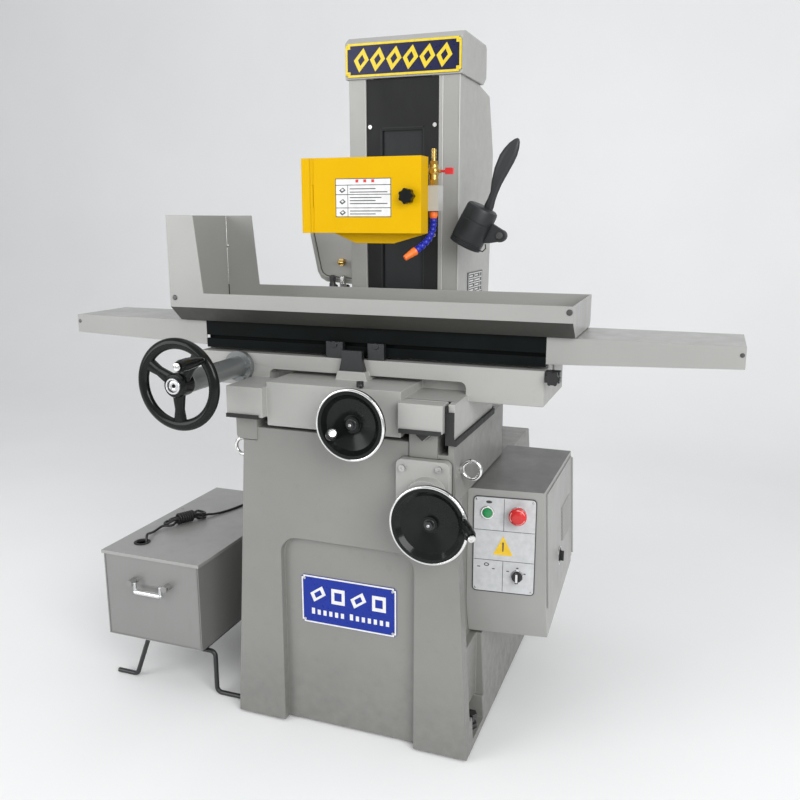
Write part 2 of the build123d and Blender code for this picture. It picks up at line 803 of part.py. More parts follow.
def cross_wheel():
    """Cross-feed wheel with its feed screw."""
    x, y, z = CROSS_WHEEL
    body = dish_wheel(CROSS_WHEEL, CROSS_WHEEL_R)
    body += rod_y(x, z, y + 10, 58, 11) + rod_y(x, z, 57, 316, 9)
    body += rod_y(x, z, y + 14, -6, 24)  # graduated collar
    return body + grip_pin(*CROSS_GRIP, 6)


def lift_wheel():
    """Elevating wheel with its shaft and spur gear."""
    x, y, z = LIFT_WHEEL
    body = dish_wheel(LIFT_WHEEL, LIFT_WHEEL_R)
    body += rod_y(x, z, y + 10, 108, 11) + rod_y(x, z, 62, 78, PINION_PITCH - FIT)
    return body + grip_pin(*LIFT_GRIP, 12)


def lay_shaft():
    """Second shaft of the elevating train: spur gear in front, bevel pinion behind."""
    z = LIFT_WHEEL[2]
    body = rod_y(LAY_X, z, 62, 78, GEAR_PITCH - FIT) + rod_y(LAY_X, z, 55, 516, 10)
    near, far = SCREW_Y - BEVEL_R, SCREW_Y - 0.56 * BEVEL_R
    return body + cone((LAY_X, near, z), (LAY_X, far, z), BEVEL_R - 2 * FIT, 0.56 * BEVEL_R - 2 * FIT)


def lift_screw():
    """Elevating screw with its bevel gear, hung from the pedestal's top."""
    z = LIFT_WHEEL[2]
    near, far = z + BEVEL_R, z + 0.56 * BEVEL_R
    body = rod((LAY_X, SCREW_Y, near - 5), (LAY_X, SCREW_Y, 1385), SCREW_R)
    body += cone((LAY_X, SCREW_Y, near), (LAY_X, SCREW_Y, far), BEVEL_R - 2 * FIT, 0.56 * BEVEL_R - 2 * FIT)
    return body + rod((LAY_X, SCREW_Y, BASE_TOP + 0.3), (LAY_X, SCREW_Y, BASE_TOP + 9), 20)


def table_wheel():
    """Three-spoke wheel with its long shaft and belt pulley."""
    x, y, z = TABLE_WHEEL
    body = turned(round_section(TABLE_WHEEL_R - 9, 9), TABLE_WHEEL)
    body += rod_y(x, z, y - 16, y + 22, 21) + rod_y(x, z, y - 22, y - 14, 12)
    for angle in (50, 150, 270):
        dx, dz = math.cos(math.radians(angle)), math.sin(math.radians(angle))
        outer = TABLE_WHEEL_R - 10
        body += rod((x + 12 * dx, y, z + 12 * dz), (x + outer * dx, y, z + outer * dz), 8.5)
    body += rod_y(x, z, y, BELT_Y1 + 6, 11)
    body += rod_y(x, z, BELT_Y0 + 0.5, BELT_Y1 - 0.5, PULLEY_R)
    return body + grip_pin(*TABLE_GRIP, 10)


# ---- saddle -------------------------------------------------------------------------------------
FLAT_RIB = (145.0, 180.0)
V_RIB = (250.0, 290.0)


def table_ways(gap):
    """Flat and V ways on the saddle, or, with a gap, the grooves that run on them."""
    long = SADDLE_HALF + (40 if gap else 0)
    flat = block(-long, long, FLAT_RIB[0] - gap, FLAT_RIB[1] + gap, SADDLE_TOP - 2, 905 + gap)
    middle = (V_RIB[0] + V_RIB[1]) / 2
    half = (V_RIB[1] - V_RIB[0]) / 2 + gap * 1.3
    v = prism_x([(middle - half, SADDLE_TOP - 2), (middle + half, SADDLE_TOP - 2), (middle, 909 + gap)], -long, long)
    return flat + v


def saddle():
    body = block(-SADDLE_HALF, SADDLE_HALF, SADDLE_Y0, SADDLE_Y1, 815, SADDLE_TOP)
    recess = block(-233, 250, 90, 140, 790, 857)
    recess = fillet(recess.edges().filter_by(Axis.Y).group_by(Axis.Z)[-1], 14)
    body -= recess
    body += block(-278, 256, 20, 318, 768, 830)
    body += block(-160, 130, 20, 318, 748, 768)
    body += block(242, 256, 0, 318, 742.5, 829)
    body += block(-186, 137, 0, 141, 748, 848)  # front apron
    body += block(-278, -186, -20, 100, 768, 837) + block(137, 236, -20, 100, 768, 829)
    body += block(190, 256, 318, 385, 768, 815) + block(-256, -190, 318, 385, 768, 815)
    body += block(-268, -219, -8, 318, WAY_TOP + FIT, 768)
    body += prism_y([(V_X0 + 0.5, 768), (V_X0 + 0.5, WAY_TOP), (188.5, V_DEEP + 0.4), (V_X1 - 0.5, WAY_TOP), (V_X1 - 0.5, 768)], -8, 318)
    body += prism_y([(-52, 847), (27, 847), (21, 868), (-46, 868)], 78, 142)  # stop lug
    body += table_ways(0)
    body -= block(12, 84, 112, 330, 740, 814)  # nut tunnel
    body -= block(-SADDLE_HALF - 1, SADDLE_HALF + 1, RACK_Y0 - 4, RACK_Y1 + 3, 876, SADDLE_TOP + 1)
    body -= rod_y(PINION_X, DRIVE_Z, RACK_Y0 - 4, RACK_Y1 + 3, 22)
    body -= block(PINION_X - 22, PINION_X + 22, RACK_Y0 - 4, RACK_Y1 + 3, DRIVE_Z, SADDLE_TOP + 1)
    body -= block(TABLE_WHEEL[0] - 32, PINION_X + 32, BELT_Y0 - 2, BELT_Y1 + 2, 829, SADDLE_TOP + 1)
    body -= rod_y(PINION_X, DRIVE_Z, 170, 262, 8 + BORE)
    body -= rod_y(TABLE_WHEEL[0], DRIVE_Z, 90, BELT_Y1 + 12, 11 + BORE)
    body -= rod_y(CROSS_WHEEL[0], CROSS_WHEEL[2], -5, 58.5, 11 + BORE)
    body -= rod_y(CROSS_WHEEL[0], CROSS_WHEEL[2], 50, 330, 9 + BORE)
    body -= block(-130, -20, 40, 300, 740, 800) + block(100, 128, 40, 300, 740, 800)
    for x in (-46.0, 20.0):
        body -= rod((x / 2 - 6, 91, 850), (x / 2 - 6, 91, 869), 3)
    body -= rod((*SADDLE_LOCK, 828), (*SADDLE_LOCK, 850), 5 + BORE)
    return body


def cross_nut():
    """Feed nut bolted to the base's top."""
    x, z = CROSS_WHEEL[0], CROSS_WHEEL[2]
    body = block(x - 26, x + 26, 192, 230, BASE_TOP, z + 22)
    return body - rod_y(x, z, 190, 232, 9 + BORE)


def end_clamp():
    """Clamp block at the saddle's right end, which the table lock screws into."""
    body = block(SADDLE_HALF, 452, 104, 128, 868, 892)
    return body - rod_y(440, 880, 100, 132, 5 + FIT)


def saddle_fittings():
    """Rubber strips along the saddle's edges, the drive belt, the table stop and the end clamp."""
    strip = block(256, 262, -6, 318, 741, 754)
    flap = block(238, 241.8, -6, 0, 742, 826) + block(238, 256, -6, -0.1, 742, 812)
    left = block(-278, -196, -24, -20, 765, 774)
    right = block(140, 233, -24, -20, 765, 774)
    return [strip, flap, left, right, belt(), stop_post(), end_clamp()]


def belt():
    x0, x1 = TABLE_WHEEL[0], PINION_X
    y0, y1 = BELT_Y0 + 1, BELT_Y1 - 1
    rings = []
    for r in (PULLEY_R + 2.8, PULLEY_R + 0.3):
        ring = rod_y(x0, DRIVE_Z, y0, y1, r) + rod_y(x1, DRIVE_Z, y0, y1, r)
        rings.append(ring + block(x0, x1, y0, y1, DRIVE_Z - r, DRIVE_Z + r))
    return rings[0] - rings[1]


def table_pinion():
    """Pinion under the rack, with the driven belt pulley."""
    body = rod_y(PINION_X, DRIVE_Z, RACK_Y0, RACK_Y1, PINION_R)
    body += rod_y(PINION_X, DRIVE_Z, 172, 260, 8)
    return body + rod_y(PINION_X, DRIVE_Z, BELT_Y0 + 0.5, BELT_Y1 - 0.5, PULLEY_R)


def stop_post():
    """Dark stop that the table dogs meet."""
    post = prism_y([(-44, 868), (18, 868), (12, 893), (12, 915), (-38, 915), (-38, 893)], 84, 97)
    for x in (-46.0, 20.0):
        post += rod((x / 2 - 6, 91, 851), (x / 2 - 6, 91, 869), 3)
    return post


SADDLE_LOCK = (36.0, 18.0)
TABLE_LOCK = (440.0, 880.0)


def saddle_lock():
    """Small lever on the apron's top that clamps the saddle."""
    x, y = SADDLE_LOCK
    lever = rod((x, y, 848.4), (x, y, 860), 8) + rod((x, y, 830), (x, y, 849), 5)
    lever += rod((x, y, 856), (x + 12, y - 24, 856), 4)
    return lever + ball((x + 12, y - 24, 856), 6)


def table_lock():
    """Star knob of the table lock, on its stud."""
    x, z = TABLE_LOCK
    knob = rod_y(x, z, 84, 100, 13) + rod_y(x, z, 99, 103, 8) + rod_y(x, z, 102, 124, 5)
    for k in range(6):
        angle = 2 * math.pi * k / 6
        knob += rod_y(x + 12 * math.cos(angle), z + 12 * math.sin(angle), 85, 99, 4)
    return knob


def wheel_tube():
    """Bearing tube of the table handwheel, bolted to the saddle's front."""
    x, y, z = TABLE_WHEEL
    body = rod_y(x, z, -125, 92, 24) + rod_y(x, z, 86, 100, 37)
    body += block(x - 30, x + 30, 88, 100, z - 33, z + 20)
    body -= rod_y(x, z, -130, 101, 11 + BORE)
    for dx, dz in ((28, 2), (-28, 2), (14, -26), (-14, -26)):
        body += rod_y(x + dx, z + dz, 79, 88, 5)
    return body


# ---- table --------------------------------------------------------------------------------------
def table():
    x0, x1 = TABLE_X - TABLE_HALF, TABLE_X + TABLE_HALF
    body = block(x0, x1, TABLE_Y0, TABLE_Y1, TABLE_Z0, TABLE_Z1)
    w0, w1 = TABLE_X - WORK_HALF, TABLE_X + WORK_HALF
    body += block(w0, w1, WORK_Y0, WORK_Y1, TABLE_Z1 - 1, TABLE_TOP)
    body -= block(x0 - 1, x1 + 1, TABLE_Y0 - 1, 121, 921, 929)  # slot of the stop dogs
    body -= block(x0 - 1, x1 + 1, 121, 127, 915, 935)
    middle = (WORK_Y0 + WORK_Y1) / 2
    body -= block(w0 - 1, w1 + 1, middle - 7, middle + 7, 988, TABLE_TOP + 1)
    body -= block(w0 - 1, w1 + 1, middle - 12, middle + 12, 979, 988)
    body -= table_ways(FIT)
    return body


def tray_section(grow):
    """The tray's outline in Y and Z; grow takes it inwards by the sheet."""
    g = grow
    return [
        (TRAY_Y0 + g, TRAY_TOP),
        (TRAY_Y0 + g, 1000 + 0.4 * g),
        (101 + 0.4 * g, TABLE_Z1 + g),
        (307 - 0.4 * g, TABLE_Z1 + g),
        (TRAY_Y1 - g, 976 + 0.4 * g),
        (TRAY_Y1 - g, TRAY_TOP + 3),
    ]


def tray():
    """Splash tray: folded sheet with a tall guard at its left end."""
    x0, x1 = TABLE_X - TRAY_HALF, TABLE_X + TRAY_HALF
    body = prism_x(tray_section(0), x0, x1)
    inside = tray_section(SHEET)
    inside[0] = (inside[0][0], TRAY_TOP + 9)
    inside[-1] = (inside[-1][0], TRAY_TOP + 9)
    body -= prism_x(inside, x0 + SHEET, x1 - SHEET)
    body += block(x0, x0 + SHEET, TRAY_Y0, TRAY_Y1, TRAY_TOP - 20, SPLASH_TOP)
    front = [(x0, TRAY_TOP - 5), (x0, SPLASH_TOP), (x0 + 74, SPLASH_TOP), (x0 + 93, TRAY_TOP), (x0 + 93, TRAY_TOP - 5)]
    body += prism_y(front, TRAY_Y0, TRAY_Y0 + SHEET)
    back = [(x0, TRAY_TOP - 5), (x0, SPLASH_TOP), (x0 + 79, SPLASH_TOP), (x0 + 96, TRAY_TOP), (x0 + 96, TRAY_TOP - 5)]
    body += prism_y(back, TRAY_Y1 - SHEET, TRAY_Y1)
    body -= block(TABLE_X - WORK_HALF, TABLE_X + WORK_HALF, WORK_Y0, WORK_Y1, 950, 1002)
    return body


def way_guards():
    """Sheet covers over the ends of the ways, open underneath."""
    wings = []
    for side in (-1, 1):
        near = TABLE_X + side * (TABLE_HALF + 0.2)
        far = TABLE_X + side * WING_END
        t = SHEET * side
        outer = prism_y([(near, 963), (far, 963), (far, 918), (near, 905)], TABLE_Y0, TABLE_Y1)
        inner = prism_y(
            [(near - t, 960), (far - t, 960), (far - t, 900), (near - t, 890)],
            TABLE_Y0 + SHEET,
            TABLE_Y1 - SHEET,
        )
        wings.append(outer - inner)
    return wings


def rack():
    return block(PINION_X - 250, PINION_X + 252, RACK_Y0, RACK_Y1, DRIVE_Z + PINION_R + FIT, TABLE_Z0)


def stop_dog(x0, x1):
    """Clamp dog in the table's front slot, with its clamping knob."""
    body = block(x0, x1, 101, 113.7, SADDLE_TOP + 2 * FIT, 931)
    body += block(x0 + 4, x1 - 4, 113, 120.7, 921 + FIT, 929 - FIT)
    body += block(x0 + 4, x1 - 4, 121 + FIT, 127 - FIT, 916 + FIT, 934 - FIT)
    body += block(x0 + 4, x1 - 4, 120, 122, 922, 928)
    middle = (x0 + x1) / 2
    return body + rod_y(middle, 925, 98.5, 102, 7)


# ---- head ---------------------------------------------------------------------------------------
def head_carriage():
    """Slide inside the column, with the spindle housing that passes through the slot."""
    x, z = SPINDLE_X, SPINDLE_Z
    body = block(-125, 115, 418.4, 438, 1120, 1400) + block(-92, 82, 437, 470, 1130, 1390)
    body += block(-83.7, 65.7, 411.3, 419, 1140, 1380)
    body += block(70, 119, 437, 565, 1180, 1230)
    body += rod_y(x, z, 194, 440, 48) + rod_y(x, z, GUARD_BACK, 200, 62)
    body -= rod_y(x, z, 180, 480, 17 + BORE)
    body -= rod_y(x, z, 225, 400, 24)
    body -= rod((LAY_X, SCREW_Y, 1170), (LAY_X, SCREW_Y, 1240), SCREW_R + BORE)
    return body


def motor_shell():
    x, z = SPINDLE_X, SPINDLE_Z
    body = rod_y(x, z, 470, 655, 75) - rod_y(x, z, 480, 648, 68)
    body += rod_y(x, z, 520, 600, 68.5) - rod_y(x, z, 519, 601, 50)
    body -= rod_y(x, z, 460, 485, 17 + BORE)
    return body - rod_y(x, z, 640, 652, 12 + BORE)


def slot_shutter():
    """Dark plate that moves with the head and closes the slot."""
    plate = block(-75, 57, 408.3, 411.3, 908, 1535)
    return plate - rod_y(SPINDLE_X, SPINDLE_Z, 400, 415, 48)


def spindle_shaft():
    x, z = SPINDLE_X, SPINDLE_Z
    body = rod_y(x, z, 181, 600, 17) + rod_y(x, z, 599, 650, 12) + rod_y(x, z, 522, 598, 49)
    body += rod_y(x, z, WHEEL_Y1, 182, 40) + rod_y(x, z, 150, WHEEL_Y1 + 1, WHEEL_BORE_R)
    flange = rod_y(x, z, 150, WHEEL_Y0, 40) + rod_y(x, z, 144, 151, 22)
    return [body - flange, flange]


def grinding_wheel():
    wheel = rod_y(SPINDLE_X, SPINDLE_Z, WHEEL_Y0, WHEEL_Y1, WHEEL_R)
    return wheel - rod_y(SPINDLE_X, SPINDLE_Z, WHEEL_Y0 - 1, WHEEL_Y1 + 1, WHEEL_BORE_R)


def guard_shell():
    """Fixed part of the wheel guard: back, rim and the skirt below."""
    y0, y1 = GUARD_FRONT + 2.5, GUARD_BACK
    body = block(GUARD_X0, GUARD_X1, y0, y1, GUARD_Z0, GUARD_Z1)
    body -= block(GUARD_X0 + 2, GUARD_X1 - 2, y0 - 1, y1 - 3, GUARD_Z0 - 1, GUARD_Z1 - 2)
    body += prism_y([(-98, GUARD_Z0), (132, GUARD_Z0), (51, 1150), (-43, 1150)], y1 - 3, y1)
    body += block(GUARD_X0, HINGE_X - 3.4, GUARD_FRONT, y0 + 0.5, GUARD_Z0, GUARD_Z1)
    body += rod((HINGE_X, 139.5, 1231), (HINGE_X, 139.5, 1279), 3)
    body += block(HINGE_X - 5, HINGE_X, 138.5, 141, 1231, 1279)
    body += rod_y(KNOB_X, KNOB_Z, 143.2, y1 - 1, 8)
    body -= rod_y(KNOB_X, KNOB_Z, 140, 152, 4.5)
    return body - rod_y(SPINDLE_X, SPINDLE_Z, y1 - 6, y1 + 2, 20)


def guard_door():
    plate = block(HINGE_X + 3.4, GUARD_X1, GUARD_FRONT, GUARD_FRONT + 2, GUARD_Z0 + 0.5, GUARD_Z1)
    plate -= rod_y(KNOB_X, KNOB_Z, 130, 145, 3.3)
    for z0, z1 in ((GUARD_Z0 + 0.5, 1230.6), (1279.4, GUARD_Z1)):
        plate += rod((HINGE_X, 139.5, z0), (HINGE_X, 139.5, z1), 3)
        plate += block(HINGE_X, HINGE_X + 5, 138.5, 142, z0, z1)
    return plate


def door_knob():
    knob = rod_y(KNOB_X, KNOB_Z, 120, 137, 14.5)
    for k in range(7):
        angle = 2 * math.pi * k / 7
        knob += rod_y(KNOB_X + 13.2 * math.cos(angle), KNOB_Z + 13.2 * math.sin(angle), 121, 136, 4.2)
    return knob + rod_y(KNOB_X, KNOB_Z, 136, 139.7, 8) + rod_y(KNOB_X, KNOB_Z, 139, 149, 3)


VALVE = (139.0, 205.0)


def coolant_valve():
    """Manifold block behind the guard, and the brass tap with its hose barb."""
    x, y = VALVE
    manifold = block(118, 156, GUARD_BACK, 222, 1222, 1277)
    manifold += rod((x, y, 1215), (x, y, 1223), 4)
    tap = hexagon_z(x, y, 1277, 1291, 19) + rod((x, y, 1290), (x, y, 1322), 11)
    tap += ball((x, y, 1308), 13.5) & block(x - 20, x + 20, y - 12, y + 12, 1290, 1326)
    tap += hexagon_z(x, y, 1320, 1330, 16) + rod((x, y, 1329), (x, y, 1356), 5.2)
    for z in (1336, 1343, 1350):
        tap += cone((x, y, z), (x, y, z + 5), 6.6, 5.2)
    tap += rod((x + 8, y, 1308), (x + 17, y, 1308), 4)
    return [manifold, tap - manifold]


def valve_handle():
    x, y = VALVE
    stem = rod((x + 17.3, y, 1308), (x + 29, y, 1308), 3)
    return stem + block(x + 28, x + 46, y - 5, y + 5, 1301, 1315)


HOSE = [
    (139.0, 205.0, 1200.0),
    (138.5, 203.5, 1187.0),
    (137.5, 199.5, 1174.0),
    (134.5, 192.5, 1161.0),
    (128.5, 184.0, 1150.0),
    (120.0, 176.0, 1141.0),
    (110.5, 168.0, 1134.0),
]
NOZZLE_TIP = (90.0, 152.0, 1119.0)


def coolant_hose():
    """Segmented hose with its orange collar and nozzle."""
    x, y = VALVE
    collar = rod((x, y, 1206), (x, y, 1221.6), 9.5) - rod((x, y, 1213), (x, y, 1223), 4 + FIT)
    hose = rod((x, y, 1206), HOSE[0], 6.5)
    for p in HOSE:
        hose += ball(p, 8)
    for p, q in zip(HOSE, HOSE[1:]):
        hose += rod(p, q, 6.2)
    tip = HOSE[-1]
    near = tuple(a + 0.25 * (b - a) for a, b in zip(tip, NOZZLE_TIP))
    nozzle = cone(near, NOZZLE_TIP, 9, 5.5)
    hose -= collar
    return [collar, hose, nozzle - hose]


# ---- lamp ---------------------------------------------------------------------------------------
def lamp_arm():
    """Swinging arm from the column's lug to the lamp's ear."""
    x, y = LAMP_POST
    post = rod((x, y, 1162.3), (x, y, 1192), 12) + rod((x, y, 1140), (x, y, 1163), 5)
    ex, ey, ez = LAMP_EYE
    eye = rod_y(ex, ez, ey + 7.5, ey + 17, 14)
    link = rod((x, y, 1178), (ex - 4, ey + 13, ez), 7)
    pin = rod_y(ex, ez, ey - 9, ey + 8, 5)
    return post + link + eye + pin


def lamp_head():
    """Lamp can with its ear; the light opening is at the low end."""
    low, high = at(*LAMP_LOW), at(*LAMP_HIGH)
    body = rod(LAMP_LOW, LAMP_HIGH, LAMP_R)
    along = (high - low).normalized()
    bore = Plane(origin=low - along, z_dir=along) * Cylinder(
        LAMP_R - 4, 62, align=(Align.CENTER, Align.CENTER, Align.MIN)
    )
    neck = rod(LAMP_HIGH, (LAMP_HIGH[0] + 4, LAMP_Y, LAMP_HIGH[2] + 8), 24)
    x, y, z = LAMP_EYE
    ear = rod_y(x, z, y - 6, y + 7, 15) + prism_y([(215, 1150), (x, z - 15), (x + 8, z + 12), (222, 1196)], y - 6, y + 7)
    body = body + neck + ear
    body -= bore
    return body - rod_y(x, z, y - 12, y + 12, 5 + BORE)


def lamp_handle():
    """Leaf-shaped hand grip on top of the lamp."""
    outline = [
        (219, 1228),
        (240, 1222),
        (252, 1246),
        (263, 1275),
        (279, 1308),
        (291, 1338),
        (299, 1362),
        (301, 1376),
        (296, 1386),
        (285, 1388),
        (270, 1378),
        (257, 1358),
        (247, 1330),
        (240, 1300),
        (234, 1270),
        (226, 1244),
    ]
    leaf = prism_y(outline, LAMP_Y - 8, LAMP_Y + 8) - lamp_head()
    return leaf.solids().sort_by(SortBy.VOLUME)[-1]


# ---- all nodes ----------------------------------------------------------------------------------
def main():
    os.makedirs("parts", exist_ok=True)
    export("base_casting", base_casting())
    export("levelling_feet", *levelling_feet())
    export("eyebolts", *eyebolts())
    export("plates", name_plate(), sign_plate(), rating_plate())
    export("elevating_bracket", elevating_bracket())
    export("cross_nut", cross_nut())
    export("column", column())
    export("column_cap", column_cap())
    export("slot_cover", slot_cover())
    export("fasteners", *fasteners())
    export("side_housing", *side_housing())
    export("box_shell", box_shell())
    export("box_panel", box_panel())
    export("box_internals", *box_internals())
    export("start_button", start_button())
    export("emergency_stop", emergency_stop())
    export("selector_knob", selector_knob())
    export("box_door", box_door())
    export("box_latch", box_latch())
    export("cord_gland", *cord_gland())
    export("tank_body", tank_body())
    export("tank_lid", tank_lid())
    export("tank_handle", tank_handle())
    export("tank_stand", *tank_stand())
    export("tank_pump", tank_pump())
    hank = hank_solid()
    export("pump_hank", hank)
    export("pump_cord", cord_tube(CORD_START) - hank, cord_tube(CORD_END) - hank)
    export("lift_wheel", lift_wheel())
    export("lift_grip", grip_shape(*LIFT_GRIP))
    export("lay_shaft", lay_shaft())
    export("lift_screw", lift_screw())
    export("cross_wheel", cross_wheel())
    export("cross_grip", grip_shape(*CROSS_GRIP))
    export("table_wheel", table_wheel())
    export("table_grip", grip_shape(*TABLE_GRIP))
    export("table_pinion", table_pinion())
    export("saddle", saddle())
    export("saddle_fittings", *saddle_fittings())
    export("saddle_lock", saddle_lock())
    export("table_lock", table_lock())
    export("wheel_tube", wheel_tube())
    export("table", table())
    export("tray", tray())
    export("way_guards", *way_guards())
    export("rack", rack())
    export("stop_dog_left", stop_dog(-84, -42))
    export("stop_dog_right", stop_dog(19, 59))
    export("head_carriage", head_carriage())
    export("motor_shell", motor_shell())
    export("slot_shutter", slot_shutter())
    export("spindle_shaft", *spindle_shaft())
    export("grinding_wheel", grinding_wheel())
    export("guard_shell", guard_shell())
    export("guard_door", guard_door())
    export("door_knob", door_knob())
    export("coolant_valve", *coolant_valve())
    export("valve_handle", valve_handle())
    export("coolant_hose", *coolant_hose())
    export("lamp_arm", lamp_arm())
    export("lamp_head", lamp_head(), lamp_handle())


main()
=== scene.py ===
from math import copysign, cos, exp, pi, radians, sin, sqrt

import bmesh
import bpy
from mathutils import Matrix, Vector

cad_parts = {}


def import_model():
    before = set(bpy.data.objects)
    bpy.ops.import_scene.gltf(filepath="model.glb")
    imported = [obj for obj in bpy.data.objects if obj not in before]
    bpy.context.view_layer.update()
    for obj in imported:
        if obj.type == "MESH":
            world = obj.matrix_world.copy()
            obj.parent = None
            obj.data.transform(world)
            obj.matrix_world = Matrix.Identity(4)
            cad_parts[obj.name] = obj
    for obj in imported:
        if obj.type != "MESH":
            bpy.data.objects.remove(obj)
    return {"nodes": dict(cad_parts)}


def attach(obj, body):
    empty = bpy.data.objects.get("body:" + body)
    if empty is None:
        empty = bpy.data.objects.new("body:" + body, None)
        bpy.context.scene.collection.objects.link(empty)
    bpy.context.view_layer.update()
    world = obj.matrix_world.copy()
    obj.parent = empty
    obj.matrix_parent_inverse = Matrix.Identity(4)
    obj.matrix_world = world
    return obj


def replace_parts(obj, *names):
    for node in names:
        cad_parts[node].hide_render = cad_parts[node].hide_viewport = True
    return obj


# Surface grinder with its coolant tank. Lengths below are millimetres: x to the right, y back from
# the base's front plane, z up from the floor. at() turns them into the frame's metres.
MM = 0.001
FRONT = -380.0
UP = Vector((0.0, 0.0, 1.0))
FRONTWARD = Vector((0.0, -1.0, 0.0))
BACKWARD = -FRONTWARD

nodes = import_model()["nodes"]
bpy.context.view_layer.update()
scene = bpy.context.scene


def at(x, y, z):
    return Vector((x, y + FRONT, z)) * MM


def turns(steps):
    """The angles of so many equal steps round a circle."""
    return [2 * pi * k / steps for k in range(steps)]


def place(name, data):
    made = bpy.data.objects.new(name, data)
    scene.collection.objects.link(made)
    return made


# ---- camera ----
def make_camera():
    data = bpy.data.cameras.new("camera")
    data.sensor_width = 36.0
    data.lens = 37.05
    data.shift_x = -0.00775
    data.shift_y = -0.00575
    data.clip_end = 50.0
    camera = place("camera", data)
    camera.location = (0.733, -1.971, 1.206)
    camera.rotation_euler = (radians(77.86), 0.0, radians(20.15))
    scene.camera = camera


make_camera()


# ---- materials ----
def shade(colour, factor):
    return tuple(min(1.0, max(0.0, c * factor)) for c in colour[:3]) + (1.0,)


class Graph:
    """Short names for building one material's nodes."""

    def __init__(self, name):
        self.material = bpy.data.materials.new(name)
        self.material.use_nodes = True
        self.tree = self.material.node_tree
        self.shader = self.tree.nodes["Principled BSDF"]
        self.place = self.tree.nodes.new("ShaderNodeTexCoord").outputs["Object"]

    def node(self, kind, **values):
        made = self.tree.nodes.new(kind)
        for key, value in values.items():
            if key in made.inputs:
                made.inputs[key].default_value = value
            else:
                setattr(made, key, value)
        return made

    def link(self, a, b):
        self.tree.links.new(a, b)

    def scaled(self, scale):
        mapping = self.node("ShaderNodeMapping", Scale=scale)
        self.link(self.place, mapping.inputs["Vector"])
        return mapping.outputs["Vector"]

    def noise(self, scale, detail=3.0, roughness=0.55, stretch=None):
        made = self.node("ShaderNodeTexNoise", Scale=scale, Detail=detail, Roughness=roughness)
        self.link(self.scaled(stretch) if stretch else self.place, made.inputs["Vector"])
        return made.outputs["Fac"]

    def ramp(self, value, low, high, a, b):
        """A value between low and high becomes a number between a and b."""
        limits = {"From Min": low, "From Max": high, "To Min": a, "To Max": b}
        made = self.node("ShaderNodeMapRange", **limits)
        self.link(value, made.inputs["Value"])
        return made.outputs["Result"]

    def mix(self, factor, a, b):
        """Colour a where factor is 0, and b where it is 1; each a colour or a socket."""
        made = self.node("ShaderNodeMix", data_type="RGBA")
        self.link(factor, made.inputs["Factor"])
        for socket, value in ((made.inputs[6], a), (made.inputs[7], b)):
            if isinstance(value, bpy.types.NodeSocket):
                self.link(value, socket)
            else:
                socket.default_value = value
        return made.outputs[2]

    def bump(self, value, depth, strength=1.0, under=None):
        made = self.node("ShaderNodeBump", Strength=strength, Distance=depth)
        self.link(value, made.inputs["Height"])
        if under is not None:
            self.link(under, made.inputs["Normal"])
        return made.outputs["Normal"]

    def finish(self, colour=None, rough=None, normal=None, **values):
        for key, value in values.items():
            self.shader.inputs[key].default_value = value
        if colour is not None:
            self.link(colour, self.shader.inputs["Base Color"])
        if rough is not None:
            self.link(rough, self.shader.inputs["Roughness"])
        if normal is not None:
            self.link(normal, self.shader.inputs["Normal"])
        return self.material


def height_share(graph, low, high):
    """0 at height low and 1 at height high, in metres."""
    split = graph.node("ShaderNodeSeparateXYZ")
    graph.link(graph.place, split.inputs[0])
    return graph.ramp(split.outputs["Z"], low, high, 0.0, 1.0)


def cast_paint(name, colour, rough=0.42, lumps=0.0006):
    """Machine enamel on a casting: soft lumps, orange peel, faint stains and scuffs."""
    g = Graph(name)
    broad = g.noise(5.0, 4.0)
    fine = g.noise(46.0, 5.0, 0.6)
    specks = g.noise(900.0, 2.0)
    body = g.mix(g.ramp(broad, 0.35, 0.68, 0.0, 1.0), shade(colour, 0.955), shade(colour, 1.035))
    stained = g.mix(g.ramp(fine, 0.62, 0.76, 0.0, 0.35), body, shade(colour, 0.82))
    tone = g.mix(g.ramp(specks, 0.66, 0.74, 0.0, 0.3), stained, shade(colour, 0.72))
    peel = g.bump(g.noise(380.0, 2.0), 0.00012, 0.6)
    soft = g.bump(g.noise(24.0, 2.0), lumps, 0.55, peel)
    gloss = g.ramp(fine, 0.3, 0.75, rough - 0.06, rough + 0.1)
    return g.finish(tone, gloss, soft, **{"Coat Weight": 0.18, "Coat Roughness": 0.25})


def sheet_paint(name, colour, rough=0.34, metallic=0.0, coat=0.2, gloss=0.5):
    """Enamel on folded sheet: smooth, with a fine orange peel and faint rub marks."""
    g = Graph(name)
    broad = g.noise(3.2, 3.0)
    rubs = g.noise(22.0, 5.0, 0.65, (1.0, 1.0, 0.35))
    body = g.mix(g.ramp(broad, 0.36, 0.66, 0.0, 1.0), shade(colour, 0.965), shade(colour, 1.03))
    tone = g.mix(g.ramp(rubs, 0.6, 0.78, 0.0, 0.28), body, shade(colour, 0.84))
    peel = g.bump(g.noise(520.0, 2.0), 0.00008, 0.55)
    wavy = g.bump(g.noise(9.0, 1.0), 0.0007, 0.35, peel)
    shine = g.ramp(rubs, 0.3, 0.75, rough - 0.05, rough + 0.12)
    return g.finish(
        tone, shine, wavy, Metallic=metallic,
        **{"Coat Weight": coat, "Coat Roughness": 0.2, "Specular IOR Level": gloss}
    )


